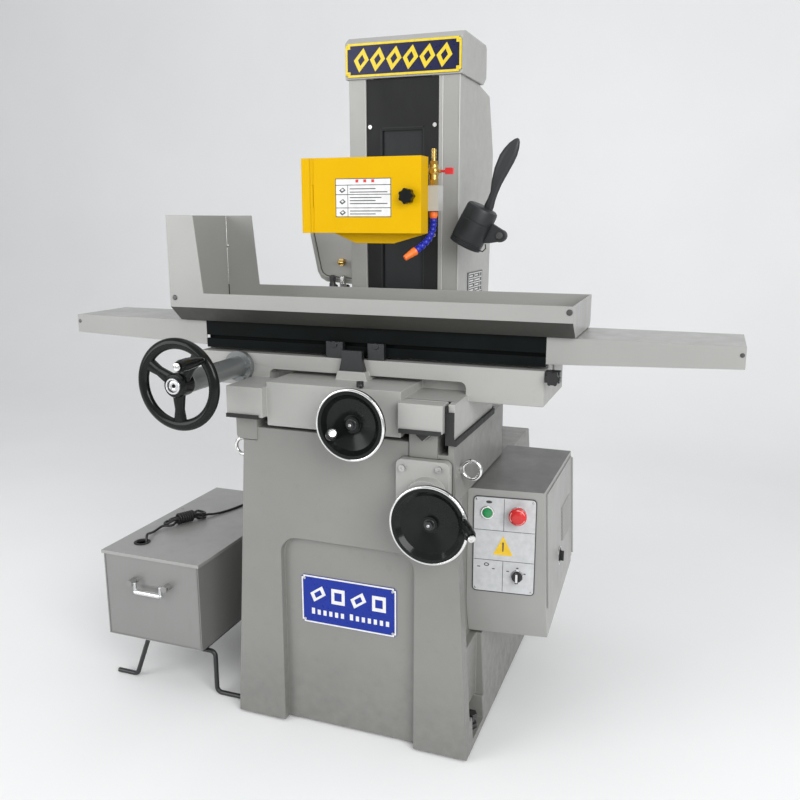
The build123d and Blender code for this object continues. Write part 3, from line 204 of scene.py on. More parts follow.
def metal(name, colour, rough=0.28, along=(1.0, 1.0, 1.0), grain=420.0, stain=0.85):
    """Machined metal with turning or grinding lines along one direction."""
    g = Graph(name)
    lines = g.noise(grain, 3.0, 0.6, along)
    patches = g.noise(14.0, 4.0)
    tone = g.mix(g.ramp(patches, 0.45, 0.72, 0.0, 0.7), shade(colour, 1.0), shade(colour, stain))
    gloss = g.ramp(patches, 0.3, 0.7, rough - 0.05, rough + 0.1)
    return g.finish(tone, gloss, g.bump(lines, 0.00004, 0.5), Metallic=1.0)


def plastic(name, colour, rough=0.3, texture=0.00006, scale=700.0, coat=0.0, gloss=0.5):
    """Moulded plastic with a fine texture and handling marks."""
    g = Graph(name)
    marks = g.noise(30.0, 5.0, 0.65)
    tone = g.mix(g.ramp(marks, 0.45, 0.75, 0.0, 0.6), shade(colour, 1.0), shade(colour, 1.5))
    shine = g.ramp(marks, 0.3, 0.75, rough - 0.05, rough + 0.12)
    skin = g.bump(g.noise(scale, 2.0), texture, 0.5)
    values = {"Coat Weight": coat, "Coat Roughness": 0.08, "Specular IOR Level": gloss}
    return g.finish(tone, shine, skin, **values)


def rubber(name, colour, rough=0.62):
    g = Graph(name)
    dust = g.noise(60.0, 4.0, 0.6)
    tone = g.mix(g.ramp(dust, 0.5, 0.8, 0.0, 0.5), shade(colour, 1.0), shade(colour, 2.2))
    shine = g.ramp(dust, 0.3, 0.8, rough - 0.08, rough + 0.15)
    return g.finish(tone, shine, g.bump(g.noise(500.0), 0.00008, 0.5))


def black_iron(name, colour, rough=0.38):
    """Oiled dark machined surface with long milling lines and a few dull patches."""
    g = Graph(name)
    lines = g.noise(260.0, 3.0, 0.6, (0.05, 1.0, 1.0))
    patches = g.noise(9.0, 5.0, 0.6)
    tone = g.mix(g.ramp(patches, 0.4, 0.72, 0.0, 0.8), shade(colour, 0.8), shade(colour, 1.5))
    gloss = g.ramp(patches, 0.3, 0.7, rough - 0.08, rough + 0.14)
    return g.finish(tone, gloss, g.bump(lines, 0.00008, 0.6), **{"Specular IOR Level": 0.06})


def abrasive(name, colour):
    g = Graph(name)
    grit = g.noise(1500.0, 2.0, 0.7)
    tone = g.mix(g.ramp(grit, 0.35, 0.65, 0.0, 1.0), shade(colour, 0.6), shade(colour, 1.1))
    return g.finish(tone, None, g.bump(grit, 0.0003, 0.8), Roughness=0.9)


def printed(name, colour, rough=0.3, coat=0.25):
    """Printed or enamelled sign plate with a faint mottling."""
    g = Graph(name)
    mottle = g.noise(70.0, 4.0)
    tone = g.mix(g.ramp(mottle, 0.4, 0.7, 0.0, 1.0), shade(colour, 0.93), shade(colour, 1.06))
    return g.finish(
        tone, g.ramp(mottle, 0.3, 0.7, rough - 0.05, rough + 0.08), g.bump(g.noise(650.0), 0.00003, 0.4),
        **{"Coat Weight": coat, "Coat Roughness": 0.12, "Specular IOR Level": 0.3}
    )


def base_paint(name, colour):
    """The base's enamel, darker towards the floor."""
    g = Graph(name)
    broad = g.noise(4.0, 4.0)
    fine = g.noise(40.0, 5.0, 0.6)
    body = g.mix(g.ramp(broad, 0.35, 0.68, 0.0, 1.0), shade(colour, 0.95), shade(colour, 1.04))
    stained = g.mix(g.ramp(fine, 0.6, 0.76, 0.0, 0.35), body, shade(colour, 0.84))
    low = g.node("ShaderNodeMath", operation="MULTIPLY")
    g.link(g.ramp(height_share(g, 0.0, 0.22), 0.0, 1.0, 0.55, 0.0), low.inputs[0])
    g.link(g.ramp(fine, 0.3, 0.65, 0.3, 1.0), low.inputs[1])
    tone = g.mix(low.outputs[0], stained, shade(colour, 0.62))
    peel = g.bump(g.noise(380.0, 2.0), 0.00012, 0.6)
    soft = g.bump(g.noise(16.0, 2.0), 0.0012, 0.5, peel)
    gloss = g.ramp(fine, 0.3, 0.75, 0.38, 0.54)
    return g.finish(tone, gloss, soft, **{"Coat Weight": 0.16, "Coat Roughness": 0.25})


GREY = (0.363, 0.363, 0.345)
M = {
    # The base's grey is set darker than the machine grey above it: painted shade for the light falling off
    # towards the floor.
    "base": base_paint("base_shaded_enamel", (0.216, 0.216, 0.202)),
    "grey": cast_paint("machine_enamel", GREY),
    "grey_sheet": sheet_paint("sheet_enamel", (0.315, 0.315, 0.3)),
    # Near-black enamel used as painted shade: the tray's downward faces, the line beside the housing rim and
    # the splash guard's slit.
    "grey_under": sheet_paint("shaded_enamel", (0.035, 0.035, 0.03), 0.5),
    # A grey lighter than the machine grey; on the side housing's front it is painted light over the shade
    # below the guard.
    "grey_light": sheet_paint("lightened_enamel", (0.45, 0.45, 0.425)),
    # Lighter grey for beads and rims: a painted highlight along their edges.
    "grey_highlight": sheet_paint("highlight_enamel", (0.52, 0.52, 0.5), 0.3),
    # Darker grey for the column's front strip: painted shade.
    "grey_strip_shade": cast_paint("column_strip_shade_enamel", (0.32, 0.32, 0.305)),
    # Darker grey for the electrical box's upward faces: painted shade.
    "grey_dim": sheet_paint("top_shade_enamel", (0.155, 0.155, 0.15), 0.4, coat=0.0, gloss=0.3),
    "tube": sheet_paint("tube_enamel", (0.17, 0.18, 0.18), 0.3, 0.3),
    "pink": plastic("pale_print", (0.8, 0.35, 0.33), 0.3),
    "glass": plastic("frosted_glass", (0.62, 0.61, 0.57), 0.25, 0.00002),
    "tank": sheet_paint("tank_enamel", (0.255, 0.255, 0.248), 0.36, 0.4),
    "tank_top": sheet_paint("lid_enamel", (0.34, 0.34, 0.33), 0.4, 0.25),
    "yellow": sheet_paint("guard_enamel", (0.66, 0.385, 0.0), 0.5, coat=0.0, gloss=0.08),
    "iron": black_iron("dark_iron", (0.005, 0.0065, 0.0065), 0.5),
    "black": sheet_paint("black_enamel", (0.014, 0.015, 0.016), 0.36),
    "cover": sheet_paint("cover_enamel", (0.012, 0.0125, 0.0125), 0.5, coat=0.0, gloss=0.25),
    "shutter": sheet_paint("shutter_enamel", (0.016, 0.0185, 0.02), 0.45, coat=0.0, gloss=0.3),
    "raw_iron": metal("ground_iron", (0.33, 0.33, 0.32), 0.4, (1.0, 0.06, 1.0)),
    "steel": metal("bright_steel", (0.56, 0.56, 0.55), 0.26),
    "dark_steel": metal("blackened_steel", (0.12, 0.12, 0.12), 0.4),
    "chrome": metal("chrome_plate", (0.8, 0.8, 0.79), 0.1, stain=0.93),
    "brass": metal("brass", (0.62, 0.42, 0.13), 0.26, stain=0.7),
    "aluminium": metal("satin_aluminium", (0.62, 0.63, 0.64), 0.36, (0.05, 1.0, 1.0)),
    "panel": printed("panel_foil", (0.56, 0.57, 0.58), 0.32),
    "bakelite": plastic("black_bakelite", (0.006, 0.007, 0.0065), 0.14, coat=0.12, gloss=0.16),
    "black_plastic": plastic("black_plastic", (0.014, 0.014, 0.015), 0.34),
    "lamp": plastic("lamp_plastic", (0.017, 0.019, 0.021), 0.44, 0.00012, 380.0),
    "rubber": rubber("black_rubber", (0.014, 0.014, 0.014)),
    "cord": rubber("cord_rubber", (0.012, 0.012, 0.012), 0.45),
    "red": plastic("red_plastic", (0.56, 0.012, 0.012), 0.22, coat=0.4),
    "green": plastic("green_plastic", (0.012, 0.25, 0.07), 0.24, coat=0.4),
    "blue": plastic("blue_plastic", (0.008, 0.016, 0.34), 0.3),
    "orange": plastic("orange_plastic", (0.85, 0.16, 0.02), 0.32),
    "white": printed("white_print", (0.72, 0.72, 0.71), 0.35),
    "navy": printed("navy_enamel", (0.003, 0.005, 0.045), 0.3, 0.1),
    "plate_blue": printed("blue_enamel", (0.002, 0.022, 0.27), 0.3, 0.1),
    "gold": printed("gold_print", (0.74, 0.56, 0.03), 0.28),
    "ink": printed("grey_print", (0.05, 0.05, 0.055), 0.4),
    "amber": printed("amber_print", (0.85, 0.55, 0.02), 0.3),
    "grit": abrasive("bonded_grit", (0.6, 0.58, 0.54)),
}


# ---- mesh building ----
SHARP = radians(32)


def mesh_of(name, bm):
    bmesh.ops.recalc_face_normals(bm, faces=bm.faces)
    mesh = bpy.data.meshes.new(name)
    bm.to_mesh(mesh)
    bm.free()
    return mesh


def round_edges(obj, width, angle):
    edge = obj.modifiers.new("edges", "BEVEL")
    edge.width = width * MM
    edge.segments = 2
    edge.limit_method = "ANGLE"
    edge.angle_limit = angle
    edge.harden_normals = True
    return edge


def piece(name, bm, material, body, bevel=0.0):
    """Makes a mesh one piece that rides on a body."""
    made = place(name, mesh_of(name, bm))
    made.data.materials.append(M[material])
    made.data.shade_smooth()
    made.data.set_sharp_from_angle(angle=SHARP)
    if bevel:
        round_edges(made, bevel, SHARP)
    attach(made, body)
    return made


def bridge(bm, rings):
    """Joins rings of as many points one after another and closes both ends."""
    for low, high in zip(rings, rings[1:]):
        for k in range(len(low)):
            j = (k + 1) % len(low)
            bm.faces.new((low[k], low[j], high[j], high[k]))
    for ring in (rings[0], rings[-1]):
        bm.faces.new(ring)


def axes(direction, side=UP):
    """Two unit vectors across a direction."""
    d = direction.normalized()
    if abs(d.dot(side)) > 0.95:
        side = BACKWARD
    a = side.cross(d).normalized()
    return a, d.cross(a)


def add_lathe(bm, origin, direction, profile, steps):
    """Turns (radius, distance) points round a line."""
    d = direction.normalized()
    a, b = axes(d)
    rings = []
    for radius, along in profile:
        ring = []
        for angle in turns(steps):
            r = radius * MM
            p = origin + d * (along * MM) + a * (r * cos(angle)) + b * (r * sin(angle))
            ring.append(bm.verts.new(p))
        rings.append(ring)
    bridge(bm, rings)


def lathe(name, origin, direction, profile, material, body, slot, steps):
    bm = bmesh.new()
    add_lathe(bm, origin, direction, profile, steps)
    return piece(name, bm, material, body)


def add_ring(bm, origin, direction, section, steps=64):
    """Sweeps a closed (radius, distance) section round a line."""
    d = direction.normalized()
    a, b = axes(d)
    rings = []
    for angle in turns(steps):
        out = a * cos(angle) + b * sin(angle)
        rings.append([bm.verts.new(origin + out * (r * MM) + d * (h * MM)) for r, h in section])
    for k in range(steps):
        near, far = rings[k], rings[(k + 1) % steps]
        for i in range(len(section)):
            j = (i + 1) % len(section)
            bm.faces.new((near[i], near[j], far[j], far[i]))


def add_prism(bm, outline, vector):
    """A flat outline of points drawn along a vector."""
    low = [bm.verts.new(p) for p in outline]
    high = [bm.verts.new(p + vector) for p in outline]
    bm.faces.new(low)
    bm.faces.new(list(reversed(high)))
    for i in range(len(low)):
        j = (i + 1) % len(low)
        bm.faces.new((low[i], low[j], high[j], high[i]))


def add_box(bm, x0, x1, y0, y1, z0, z1):
    outline = [at(x0, y0, z0), at(x1, y0, z0), at(x1, y0, z1), at(x0, y0, z1)]
    add_prism(bm, outline, Vector((0, (y1 - y0) * MM, 0)))


def add_tube(bm, points, radii, steps=16):
    """A round tube through points, with a radius at each."""
    rings = []
    side = None
    for i, p in enumerate(points):
        before = points[max(i - 1, 0)]
        after = points[min(i + 1, len(points) - 1)]
        d = (after - before).normalized()
        if side is None:
            side, _ = axes(d)
        side = (side - d * side.dot(d)).normalized()
        other = d.cross(side)
        ring = []
        for angle in turns(steps):
            out = side * cos(angle) + other * sin(angle)
            ring.append(bm.verts.new(p + out * (radii[i] * MM)))
        rings.append(ring)
    bridge(bm, rings)


def hexagon(bm, centre, direction, across, height):
    a, b = axes(direction)
    r = across / sqrt(3) * MM
    ring = [centre + a * (r * cos(t)) + b * (r * sin(t)) for t in turns(6)]
    add_prism(bm, ring, direction.normalized() * (height * MM))


# ---- the pump's cord ----
CORD_R = 3.25
CORD_START = [
    (-616, 92, 312), (-616, 92, 332), (-616, 92.5, 352), (-617, 94, 372), (-621, 103, 387),
    (-628, 121, 382), (-634, 143, 375.5), (-636, 166, 375), (-633, 188, 380),
]
CORD_END = [
    (-569, 304, 380), (-561, 318, 376), (-552, 334, 374.4), (-543, 353, 374.0), (-534, 375, 374.2),
    (-527, 402, 374.0), (-520, 431, 374.1), (-505, 459, 374.0), (-478, 481, 374.2), (-446, 494, 374.8),
    (-417, 501, 378), (-394, 505, 379), (-373, 508, 368), (-355, 510, 352), (-337, 511.5, 339),
    (-316, 512.5, 333.4), (-292, 513, 333),
]
HANK_MIDDLE = Vector((-601.0, 246.0, 387.2))
HANK_ALONG = Vector((64.0, 116.0, 0.0)).normalized()
HANK_WRAPS = 7
HANK_WRAP_R = 13.0
HANK_TURN_R = 15.5


def hank_point(u, v, w):
    """A point of the hank: along it, across it, and above its middle."""
    across = Vector((-HANK_ALONG.y, HANK_ALONG.x, 0.0))
    return tuple(HANK_MIDDLE + HANK_ALONG * u + across * v + UP * w)


def hank_end(side, v0, v1, w0, w1):
    """A turn at one end of the hank, from one run to the next."""
    points = []
    for k in range(7):
        angle = pi * k / 6
        swing = HANK_TURN_R * cos(angle) * (1 if v0 > v1 else -1)
        sag = w0 + (w1 - w0) * k / 6 - 5.0 * sin(angle)
        points.append(hank_point(side * (45.0 + HANK_TURN_R * sin(angle)), swing, sag))
    return points


def hank_points():
    """Four long runs with a turn at each end, then tight wraps round the middle."""
    points = []
    run = 4.6
    low, high = -4.4, 4.4
    points += [hank_point(-44, -14, -11), hank_point(-30, -run, low), hank_point(30, -run, low)]
    points += hank_end(1, -run, run, low - 3, low - 3)
    points += [hank_point(30, run, low), hank_point(-30, run, low)]
    points += hank_end(-1, run, -run, low, high)
    points += [hank_point(-30, -run, high), hank_point(30, -run, high)]
    points += hank_end(1, -run, run, high, high)
    points += [hank_point(30, run, high), hank_point(-26, run, high)]
    points += [hank_point(-40, 9, 1), hank_point(-47, 0, 3), hank_point(-42, -10, 4), hank_point(-32, -13, 5)]
    steps = 12
    for k in range(HANK_WRAPS * steps + 1):
        angle = radians(150) + 2 * pi * k / steps
        u = -23.5 + 47.0 * k / (HANK_WRAPS * steps)
        points.append(hank_point(u, HANK_WRAP_R * cos(angle), HANK_WRAP_R * sin(angle)))
    points += [hank_point(33, -9, -10), hank_point(45, -4, -12)]
    return points


def pump_cord():
    points = CORD_START + hank_points() + CORD_END
    curve = bpy.data.curves.new("pump_lead", "CURVE")
    curve.dimensions = "3D"
    spline = curve.splines.new("NURBS")
    spline.points.add(len(points) - 1)
    for target, p in zip(spline.points, points):
        target.co = (*at(*p), 1.0)
    spline.order_u = 3
    spline.use_endpoint_u = True
    spline.resolution_u = 6
    curve.bevel_depth = CORD_R * MM
    curve.bevel_resolution = 5
    curve.use_fill_caps = True
    cord = place("pump_lead", curve)
    curve.materials.append(M["cord"])
    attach(cord, "base")
    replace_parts(cord, "pump_cord", "pump_hank")
    bpy.context.view_layer.update()


pump_cord()


# ---- finish of the CAD nodes ----
def soften(node, width):
    """Rounds the edges of a CAD node, as casting and painting do."""
    obj = nodes[node]
    mesh = obj.data
    if "custom_normal" in mesh.attributes:
        mesh.attributes.remove(mesh.attributes["custom_normal"])
    mesh.shade_smooth()
    weld = obj.modifiers.new("weld", "WELD")
    weld.merge_threshold = 0.00001
    flat = obj.modifiers.new("flat", "DECIMATE")
    flat.decimate_type = "DISSOLVE"
    flat.angle_limit = radians(0.6)
    edge = round_edges(obj, width, radians(34))
    edge.use_clamp_overlap = False
    edge.miter_outer = "MITER_ARC"


def coat(node, *names):
    obj = nodes[node]
    obj.data.materials.clear()
    for name in names:
        obj.data.materials.append(M[name])


def paint_faces(node, index, test):
    """Gives the faces that pass a test another of the node's materials."""
    mesh = nodes[node].data
    for face in mesh.polygons:
        c = face.center / MM
        c.y -= FRONT
        if test(c, face.normal):
            face.material_index = index


# Each finish and the nodes that have it.
FINISH = {
    "dark_steel": ("levelling_feet",),
    "chrome": ("eyebolts",),
    "grey": ("elevating_bracket", "column", "column_cap", "saddle", "head_carriage"),
    "raw_iron": ("cross_nut", "tank_pump"),
    "cover": ("slot_cover",),
    "steel": ("fasteners", "lay_shaft", "lift_screw", "table_pinion", "rack", "spindle_shaft"),
    "panel": ("box_panel",),
    "black_plastic": ("cord_gland", "selector_knob", "box_latch", "saddle_lock", "table_lock"),
    "tank": ("tank_body",),
    "tank_top": ("tank_lid",),
    "black": ("tank_stand", "stop_dog_left", "stop_dog_right"),
    "aluminium": ("tank_handle", "motor_shell"),
    "green": ("start_button",),
    "red": ("emergency_stop", "valve_handle"),
    "grey_sheet": ("box_door", "way_guards"),
    "bakelite": ("lift_grip", "cross_grip", "table_grip", "door_knob"),
    "tube": ("wheel_tube",),
    "shutter": ("slot_shutter",),
    "grit": ("grinding_wheel",),
    "yellow": ("guard_shell", "guard_door"),
    "lamp": ("lamp_arm", "lamp_head"),
}
# The radius of the softened edges, in millimetres, and the nodes that have it.
SOFT_EDGES = {
    2.5: ("base_casting",),
    2.0: ("column", "column_cap"),
    1.8: ("saddle",),
    1.0: ("wheel_tube", "cross_nut"),
    1.6: ("elevating_bracket",),
    0.5: ("table", "guard_door"),
    0.8: ("tray", "way_guards", "stop_dog_left", "stop_dog_right"),
    0.7: ("box_shell",),
    0.6: ("tank_body", "tank_lid", "guard_shell"),
    0.4: ("slot_shutter",),
    0.3: ("box_panel", "plates"),
}


def finish_nodes():
    for name, group in FINISH.items():
        for node in group:
            coat(node, name)
    for width, group in SOFT_EDGES.items():
        for node in group:
            soften(node, width)


def two_tone(node, names, *tests):
    """Coats a node with the first finish, and the faces that pass each test with the next ones."""
    coat(node, *names)
    for index, test in enumerate(tests, 1):
        paint_faces(node, index, test)


def two_tone_nodes():
    """Nodes whose faces carry different finishes; c is a face's centre and n its normal."""
    plate_tests = (lambda c, n: c.z < 500), (lambda c, n: c.x > 139)
    two_tone("plates", ("navy", "plate_blue", "ink"), *plate_tests)
    housing_tests = (lambda c, n: c.y < 429.9 and c.z > 1060), (lambda c, n: c.z < 1033)
    # The side housing's front faces get the lighter grey: painted light over the shade below the guard.
    two_tone("side_housing", ("grey_light", "brass", "dark_steel"), *housing_tests)
    two_tone("coolant_valve", ("brass", "grey_light"), lambda c, n: c.z < 1277.1 and c.x < 157)
    # The box's upward faces get the darker grey: painted shade on its top.
    two_tone("box_shell", ("grey_sheet", "grey_dim"), lambda c, n: n.z > 0.6)
    # The tray's downward faces under the front fold get the near-black enamel: painted shade.
    two_tone("tray", ("grey_sheet", "grey_under"), lambda c, n: n.z < -0.3 and c.z < 1001)
    two_tone("saddle_fittings", ("rubber", "black"),
             lambda c, n: c.z > 860 or (c.y > 80 and abs(c.x) < 60))
    two_tone("base_casting", ("base", "raw_iron"), lambda c, n: c.z > 745.0 and n.z > 0.6)
    two_tone("box_internals", ("black_plastic", "aluminium"), lambda c, n: c.x < 256.1)
    two_tone("table", ("iron", "raw_iron"), lambda c, n: c.z > 1004.5)
    for node, limit in (("table_wheel", -127), ("cross_wheel", -48), ("lift_wheel", -44)):
        two_tone(node, ("bakelite", "steel"), lambda c, n, limit=limit: c.y > limit)


finish_nodes()
two_tone_nodes()


# ---- trims and printed plates ----
def strips(name, boxes, material, body, bevel=0.3):
    """Several thin bars or plates as one piece."""
    bm = bmesh.new()
    for sides in boxes:
        add_box(bm, *sides)
    return piece(name, bm, material, body, bevel=bevel)


def add_frame(bm, outer, inner, forward):
    """A frame between two outlines of as many points, drawn along forward."""
    rows = [outer, [p + forward for p in outer], [p + forward for p in inner], inner]
    loops = [[bm.verts.new(p) for p in row] for row in rows]
    for a, b in zip(loops, loops[1:] + loops[:1]):
        for i in range(len(a)):
            j = (i + 1) % len(a)
            bm.faces.new((a[i], a[j], b[j], b[i]))


def notched(x0, x1, z0, z1, n, y):
    """The outline of a plate whose corners are cut in steps."""
    places = [
        (x0 + n, z0), (x1 - n, z0), (x1 - n, z0 + n), (x1, z0 + n), (x1, z1 - n), (x1 - n, z1 - n),
        (x1 - n, z1), (x0 + n, z1), (x0 + n, z1 - n), (x0, z1 - n), (x0, z0 + n), (x0 + n, z0 + n),
    ]
    return [at(x, y, z) for x, z in places]


def column_trim():
    """Raised lips down the column's front in a lighter grey, a painted highlight, and the strip between two
    of them in a darker grey, painted shade.
    """
    edges = ((-107.4, -105.2), (95.0, 98.2), (137.6, 140.4))
    lips = [(x0, x1, 398.6, 401, 741, 1541) for x0, x1 in edges]
    strips("column_lips", lips, "grey_highlight", "base", 0.9)
    strips("column_strip", [(98.8, 136.2, 399.2, 401, 741, 1541)], "grey_strip_shade", "base", 0.2)
    field = ((-66, 48.5, 1424), (-67, -64, 895), (46, 49, 895))
    lines = [(x0, x1, 402.6, 403.2, z0, 1427) for x0, x1, z0 in field]
    strips("cover_field", lines, "shutter", "base", 0.2)


def lozenge(x, z, w, h, y, lean=0.22):
    places = [(x - w, z), (x - lean * h, z - h), (x + w, z), (x + lean * h, z + h)]
    return [at(a, y, b) for a, b in places]


SIGN_Y = 392.0
NAME_Y = 21.0
LABEL_Y = 139.7


def sign():
    """The navy sign on the cap: a gold border and a row of plain lozenges."""
    bm = bmesh.new()
    depth = FRONTWARD * (0.7 * MM)
    outer = notched(-154.6, 144.6, 1546.4, 1625.1, 6, SIGN_Y)
    add_frame(bm, outer, notched(-149, 139, 1552, 1619.5, 7.5, SIGN_Y), depth)
    for k in range(6):
        x, z = -112 + 42.8 * k, 1585.7
        add_frame(bm, lozenge(x, z, 20, 28, SIGN_Y), lozenge(x, z, 9, 13, SIGN_Y), depth)
    for x in (-150, 140):
        for z in (1553, 1618.5):
            add_lathe(bm, at(x, 391.6, z), FRONTWARD, [(3.2, 0), (3.2, 1.2), (2, 2), (0.3, 2.2)], 18)
    piece("sign_print", bm, "gold", "base", bevel=0.2)


def square(x, z, w, h, y):
    return [at(x + a * w, y, z + b * h) for a, b in ((-1, -1), (1, -1), (1, 1), (-1, 1))]


def name_plate():
    """White border, four plain outlines and a row of short bars on the blue plate."""
    bm = bmesh.new()
    depth = FRONTWARD * (0.35 * MM)
    outer = notched(-121.2, 117.2, 267.8, 387.2, 5, NAME_Y)
    add_frame(bm, outer, notched(-117.6, 113.6, 271.4, 383.6, 6, NAME_Y), depth)
    for k in range(4):
        x, z = -79 + 51.4 * k, 343
        if k % 2:
            outer, inner = square(x, z, 17, 19, NAME_Y), square(x, z, 17 * 0.55, 19 * 0.55, NAME_Y)
        else:
            outer = lozenge(x, z, 20, 21, NAME_Y, 0.5)
            inner = lozenge(x, z, 20 * 0.52, 21 * 0.52, NAME_Y, 0.5)
        add_frame(bm, outer, inner, depth)
    for k in range(13):
        x = -96 + 15 * k + (8 if k > 5 else 0)
        top = 291 + (15 if k in (0, 6) else 12.5)
        add_prism(bm, [at(a, NAME_Y, b) for a, b in ((x, 291), (x + 8, 291), (x + 8, top), (x, top))], depth)
    piece("name_print", bm, "white", "base")


def rating_plate():
    """Pale ruled lines on the dark rating plate of the column's right side."""
    x, pitch = 141.3, 12.4
    lines = []
    for k in range(5):
        z = 1013 + pitch * k
        lines.append((x, 141.9, 492, 623, z, z + 2.2))
    for y in (492, 548, 600, 620.8):
        lines.append((x, 141.9, y, y + 2.2, 1013, 1064.8))
    for k in range(4):
        z = 1018.6 + pitch * k
        lines.append((x, 141.8, 500, 538 - 6 * (k % 2), z, z + 3.4))
        lines.append((x, 141.8, 556, 582 + 8 * (k % 3), z, z + 3.4))
    strips("rating_print", lines, "white", "base", 0.0)


def guard_label():
    """Pale ruled notice on the guard door: lines and plain marks, no lettering."""
    x0, x1, z0, z1 = -71.0, 62.6, 1208.6, 1292.6
    print_y = (LABEL_Y - 0.4, LABEL_Y)
    strips("label_sheet", [(x0, x1, 139.55, 140.2, z0, z1)], "white", "guard_door", 0.1)
    rules = [(x0, x1, *print_y, z, z + 1.5) for z in (z0, z1 - 1.5, 1277.5, 1257, 1228)]
    rules += [(x, x + 1.3, *print_y, z0, z1) for x in (x0, x1 - 1.3)]
    rules.append((-41.5, -40.4, *print_y, z0, 1278))
    for k, z in enumerate((1269, 1262, 1250, 1243.5, 1237, 1221, 1214.5)):
        rules.append((-36, -36 + 62 + 14 * ((k * 5) % 3), *print_y, z, z + 1.9))
    strips("label_rules", rules, "ink", "guard_door", 0.0)
    strips("label_heads", [(-22 + 19 * k, -15 + 19 * k, *print_y, 1283.5, 1290) for k in range(3)], "red",
           "guard_door", 0.4)
    bm = bmesh.new()
    for z in (1267, 1242, 1218):
        outer, inner = lozenge(-54, z, 8, 6, LABEL_Y), lozenge(-54, z + 0.8, 4, 3, LABEL_Y)
        add_frame(bm, outer, inner, FRONTWARD * (0.4 * MM))
    piece("label_marks", bm, "ink", "guard_door")


def housing_rim():
    """Pressed rim along the side housing's free edge: a lighter bead that is a painted highlight, beside a
    dark line that is painted shade.
    """
    straight = [(-286, 1306), (-273.5, 1160), (-255, 1071)]
    edge = straight + [(-250, 1060), (-240, 1053), (-226, 1050), (-156, 1046)]
    beads = (("housing_rim", 0.0, 1.7, "grey_highlight"), ("housing_groove_shade", 4.0, 1.1, "grey_under"))
    for name, inset, r, tone in beads:
        points = [at(x + inset, 429.6, z + inset * 0.9) for x, z in edge]
        bm = bmesh.new()
        add_tube(bm, points, [r] * len(points), 10)
        piece(name, bm, tone, "base")


def pipe_unions():
    """Two hose unions in front of the side housing's lower edge."""
    y = 421.4
    for side, x, tone in (("left", -215, "dark_steel"), ("right", -184.5, "chrome")):
        bm = bmesh.new()
        add_lathe(bm, at(x, y, 1024), UP, [(7.5, 0), (8.6, 1), (8.6, 13), (7.4, 14), (7.4, 20)], 28)
        hexagon(bm, at(x, y, 1041), UP, 16.4, 13)
        add_lathe(bm, at(x, y, 1053.5), UP, [(6.6, 0), (6.6, 3), (4.5, 4.5), (0.4, 5)], 28)
        piece("pipe_union_" + side, bm, tone, "base", bevel=0.4)


def tray_details():
    """Folded corner of the splash guard with its rivet, the bright steel bead down the fold a painted
    highlight; its drain slit as a dark strip, painted shade; and the rim's end screws.
    """
    bm = bmesh.new()
    add_tube(bm, [at(-469.8, 315.8, 1036), at(-469.8, 315.8, 1212)], [2.4, 2.4], 12)
    add_lathe(bm, at(-468, 314.9, 1136), FRONTWARD, [(4.2, 0), (4, 1), (2.6, 2.2), (0.4, 2.6)], 20)
    piece("splash_corner_highlight", bm, "steel", "table")
    # The slit is a dark strip laid on the surface: painted shade.
    slit = (-469, -466.6, 313.9, 315.2, 1000, 1035)
    strips("splash_slit_shade", [slit], "grey_under", "table", 0.1)
    bm = bmesh.new()
    for x in (-458, 474):
        add_lathe(bm, at(x, 61, 1022), FRONTWARD, [(6.2, 0), (6.2, 1.2), (4.6, 2.8), (0.5, 3.1)], 24)
    piece("tray_screws", bm, "dark_steel", "table")
    bm = bmesh.new()
    for x, y in ((-792, 114), (802, 114)):
        add_lathe(bm, at(x, y, 946), FRONTWARD, [(4.4, 0), (4.4, 0.8), (3.2, 2.2), (0.5, 2.5)], 20)
    piece("wing_screws", bm, "dark_steel", "table")


def way_shade():
    """Dark plate in the mouth of the V way: painted shade where the groove lies in shadow."""
    bm = bmesh.new()
    add_prism(bm, [at(163, -8.2, 770), at(214, -8.2, 770), at(188.5, -8.2, 747.5)], FRONTWARD * (2.2 * MM))
    piece("v_way_shade", bm, "rubber", "saddle", bevel=0.4)


# ---- handwheels ----
def chrome_rim(name, centre, r):
    """Bright rolled rim round a dished wheel."""
    bm = bmesh.new()
    section = [(r - 2.9 + 3.6 * cos(t), 3.4 * sin(t)) for t in turns(14)]
    x, y, z = centre
    add_ring(bm, at(x, y - 6.0, z), FRONTWARD, section, 96)
    piece(name + "_rim", bm, "chrome", name)


def hub_nut(name, centre, across):
    """Washer, hexagon nut and small screw at a wheel's middle."""
    x, y, z = centre
    face = y + 1.0
    bm = bmesh.new()
    washer = [(12.5, 0), (12.5, 1.6), (11.6, 2.4), (0.5, 2.4)]
    add_lathe(bm, at(x, face + 0.5, z), FRONTWARD, washer, 40)
    hexagon(bm, at(x, face - 1.8, z), FRONTWARD, across, 6.5)
    piece(name + "_nut", bm, "black", name, bevel=0.35)
    screw = [(3.6, 0), (3.6, 1.4), (2.8, 2.2), (1.6, 2.2), (1.5, 1.2), (0.3, 1.2)]
    lathe(name + "_screw", at(x, face - 8.0, z), FRONTWARD, screw, "steel", name, "dark_steel", 28)


def spoke(angle):
    """The direction outwards and the direction across, in the plane of a wheel."""
    out = Vector((cos(angle), 0, sin(angle)))
    return out, Vector((-sin(angle), 0, cos(angle)))


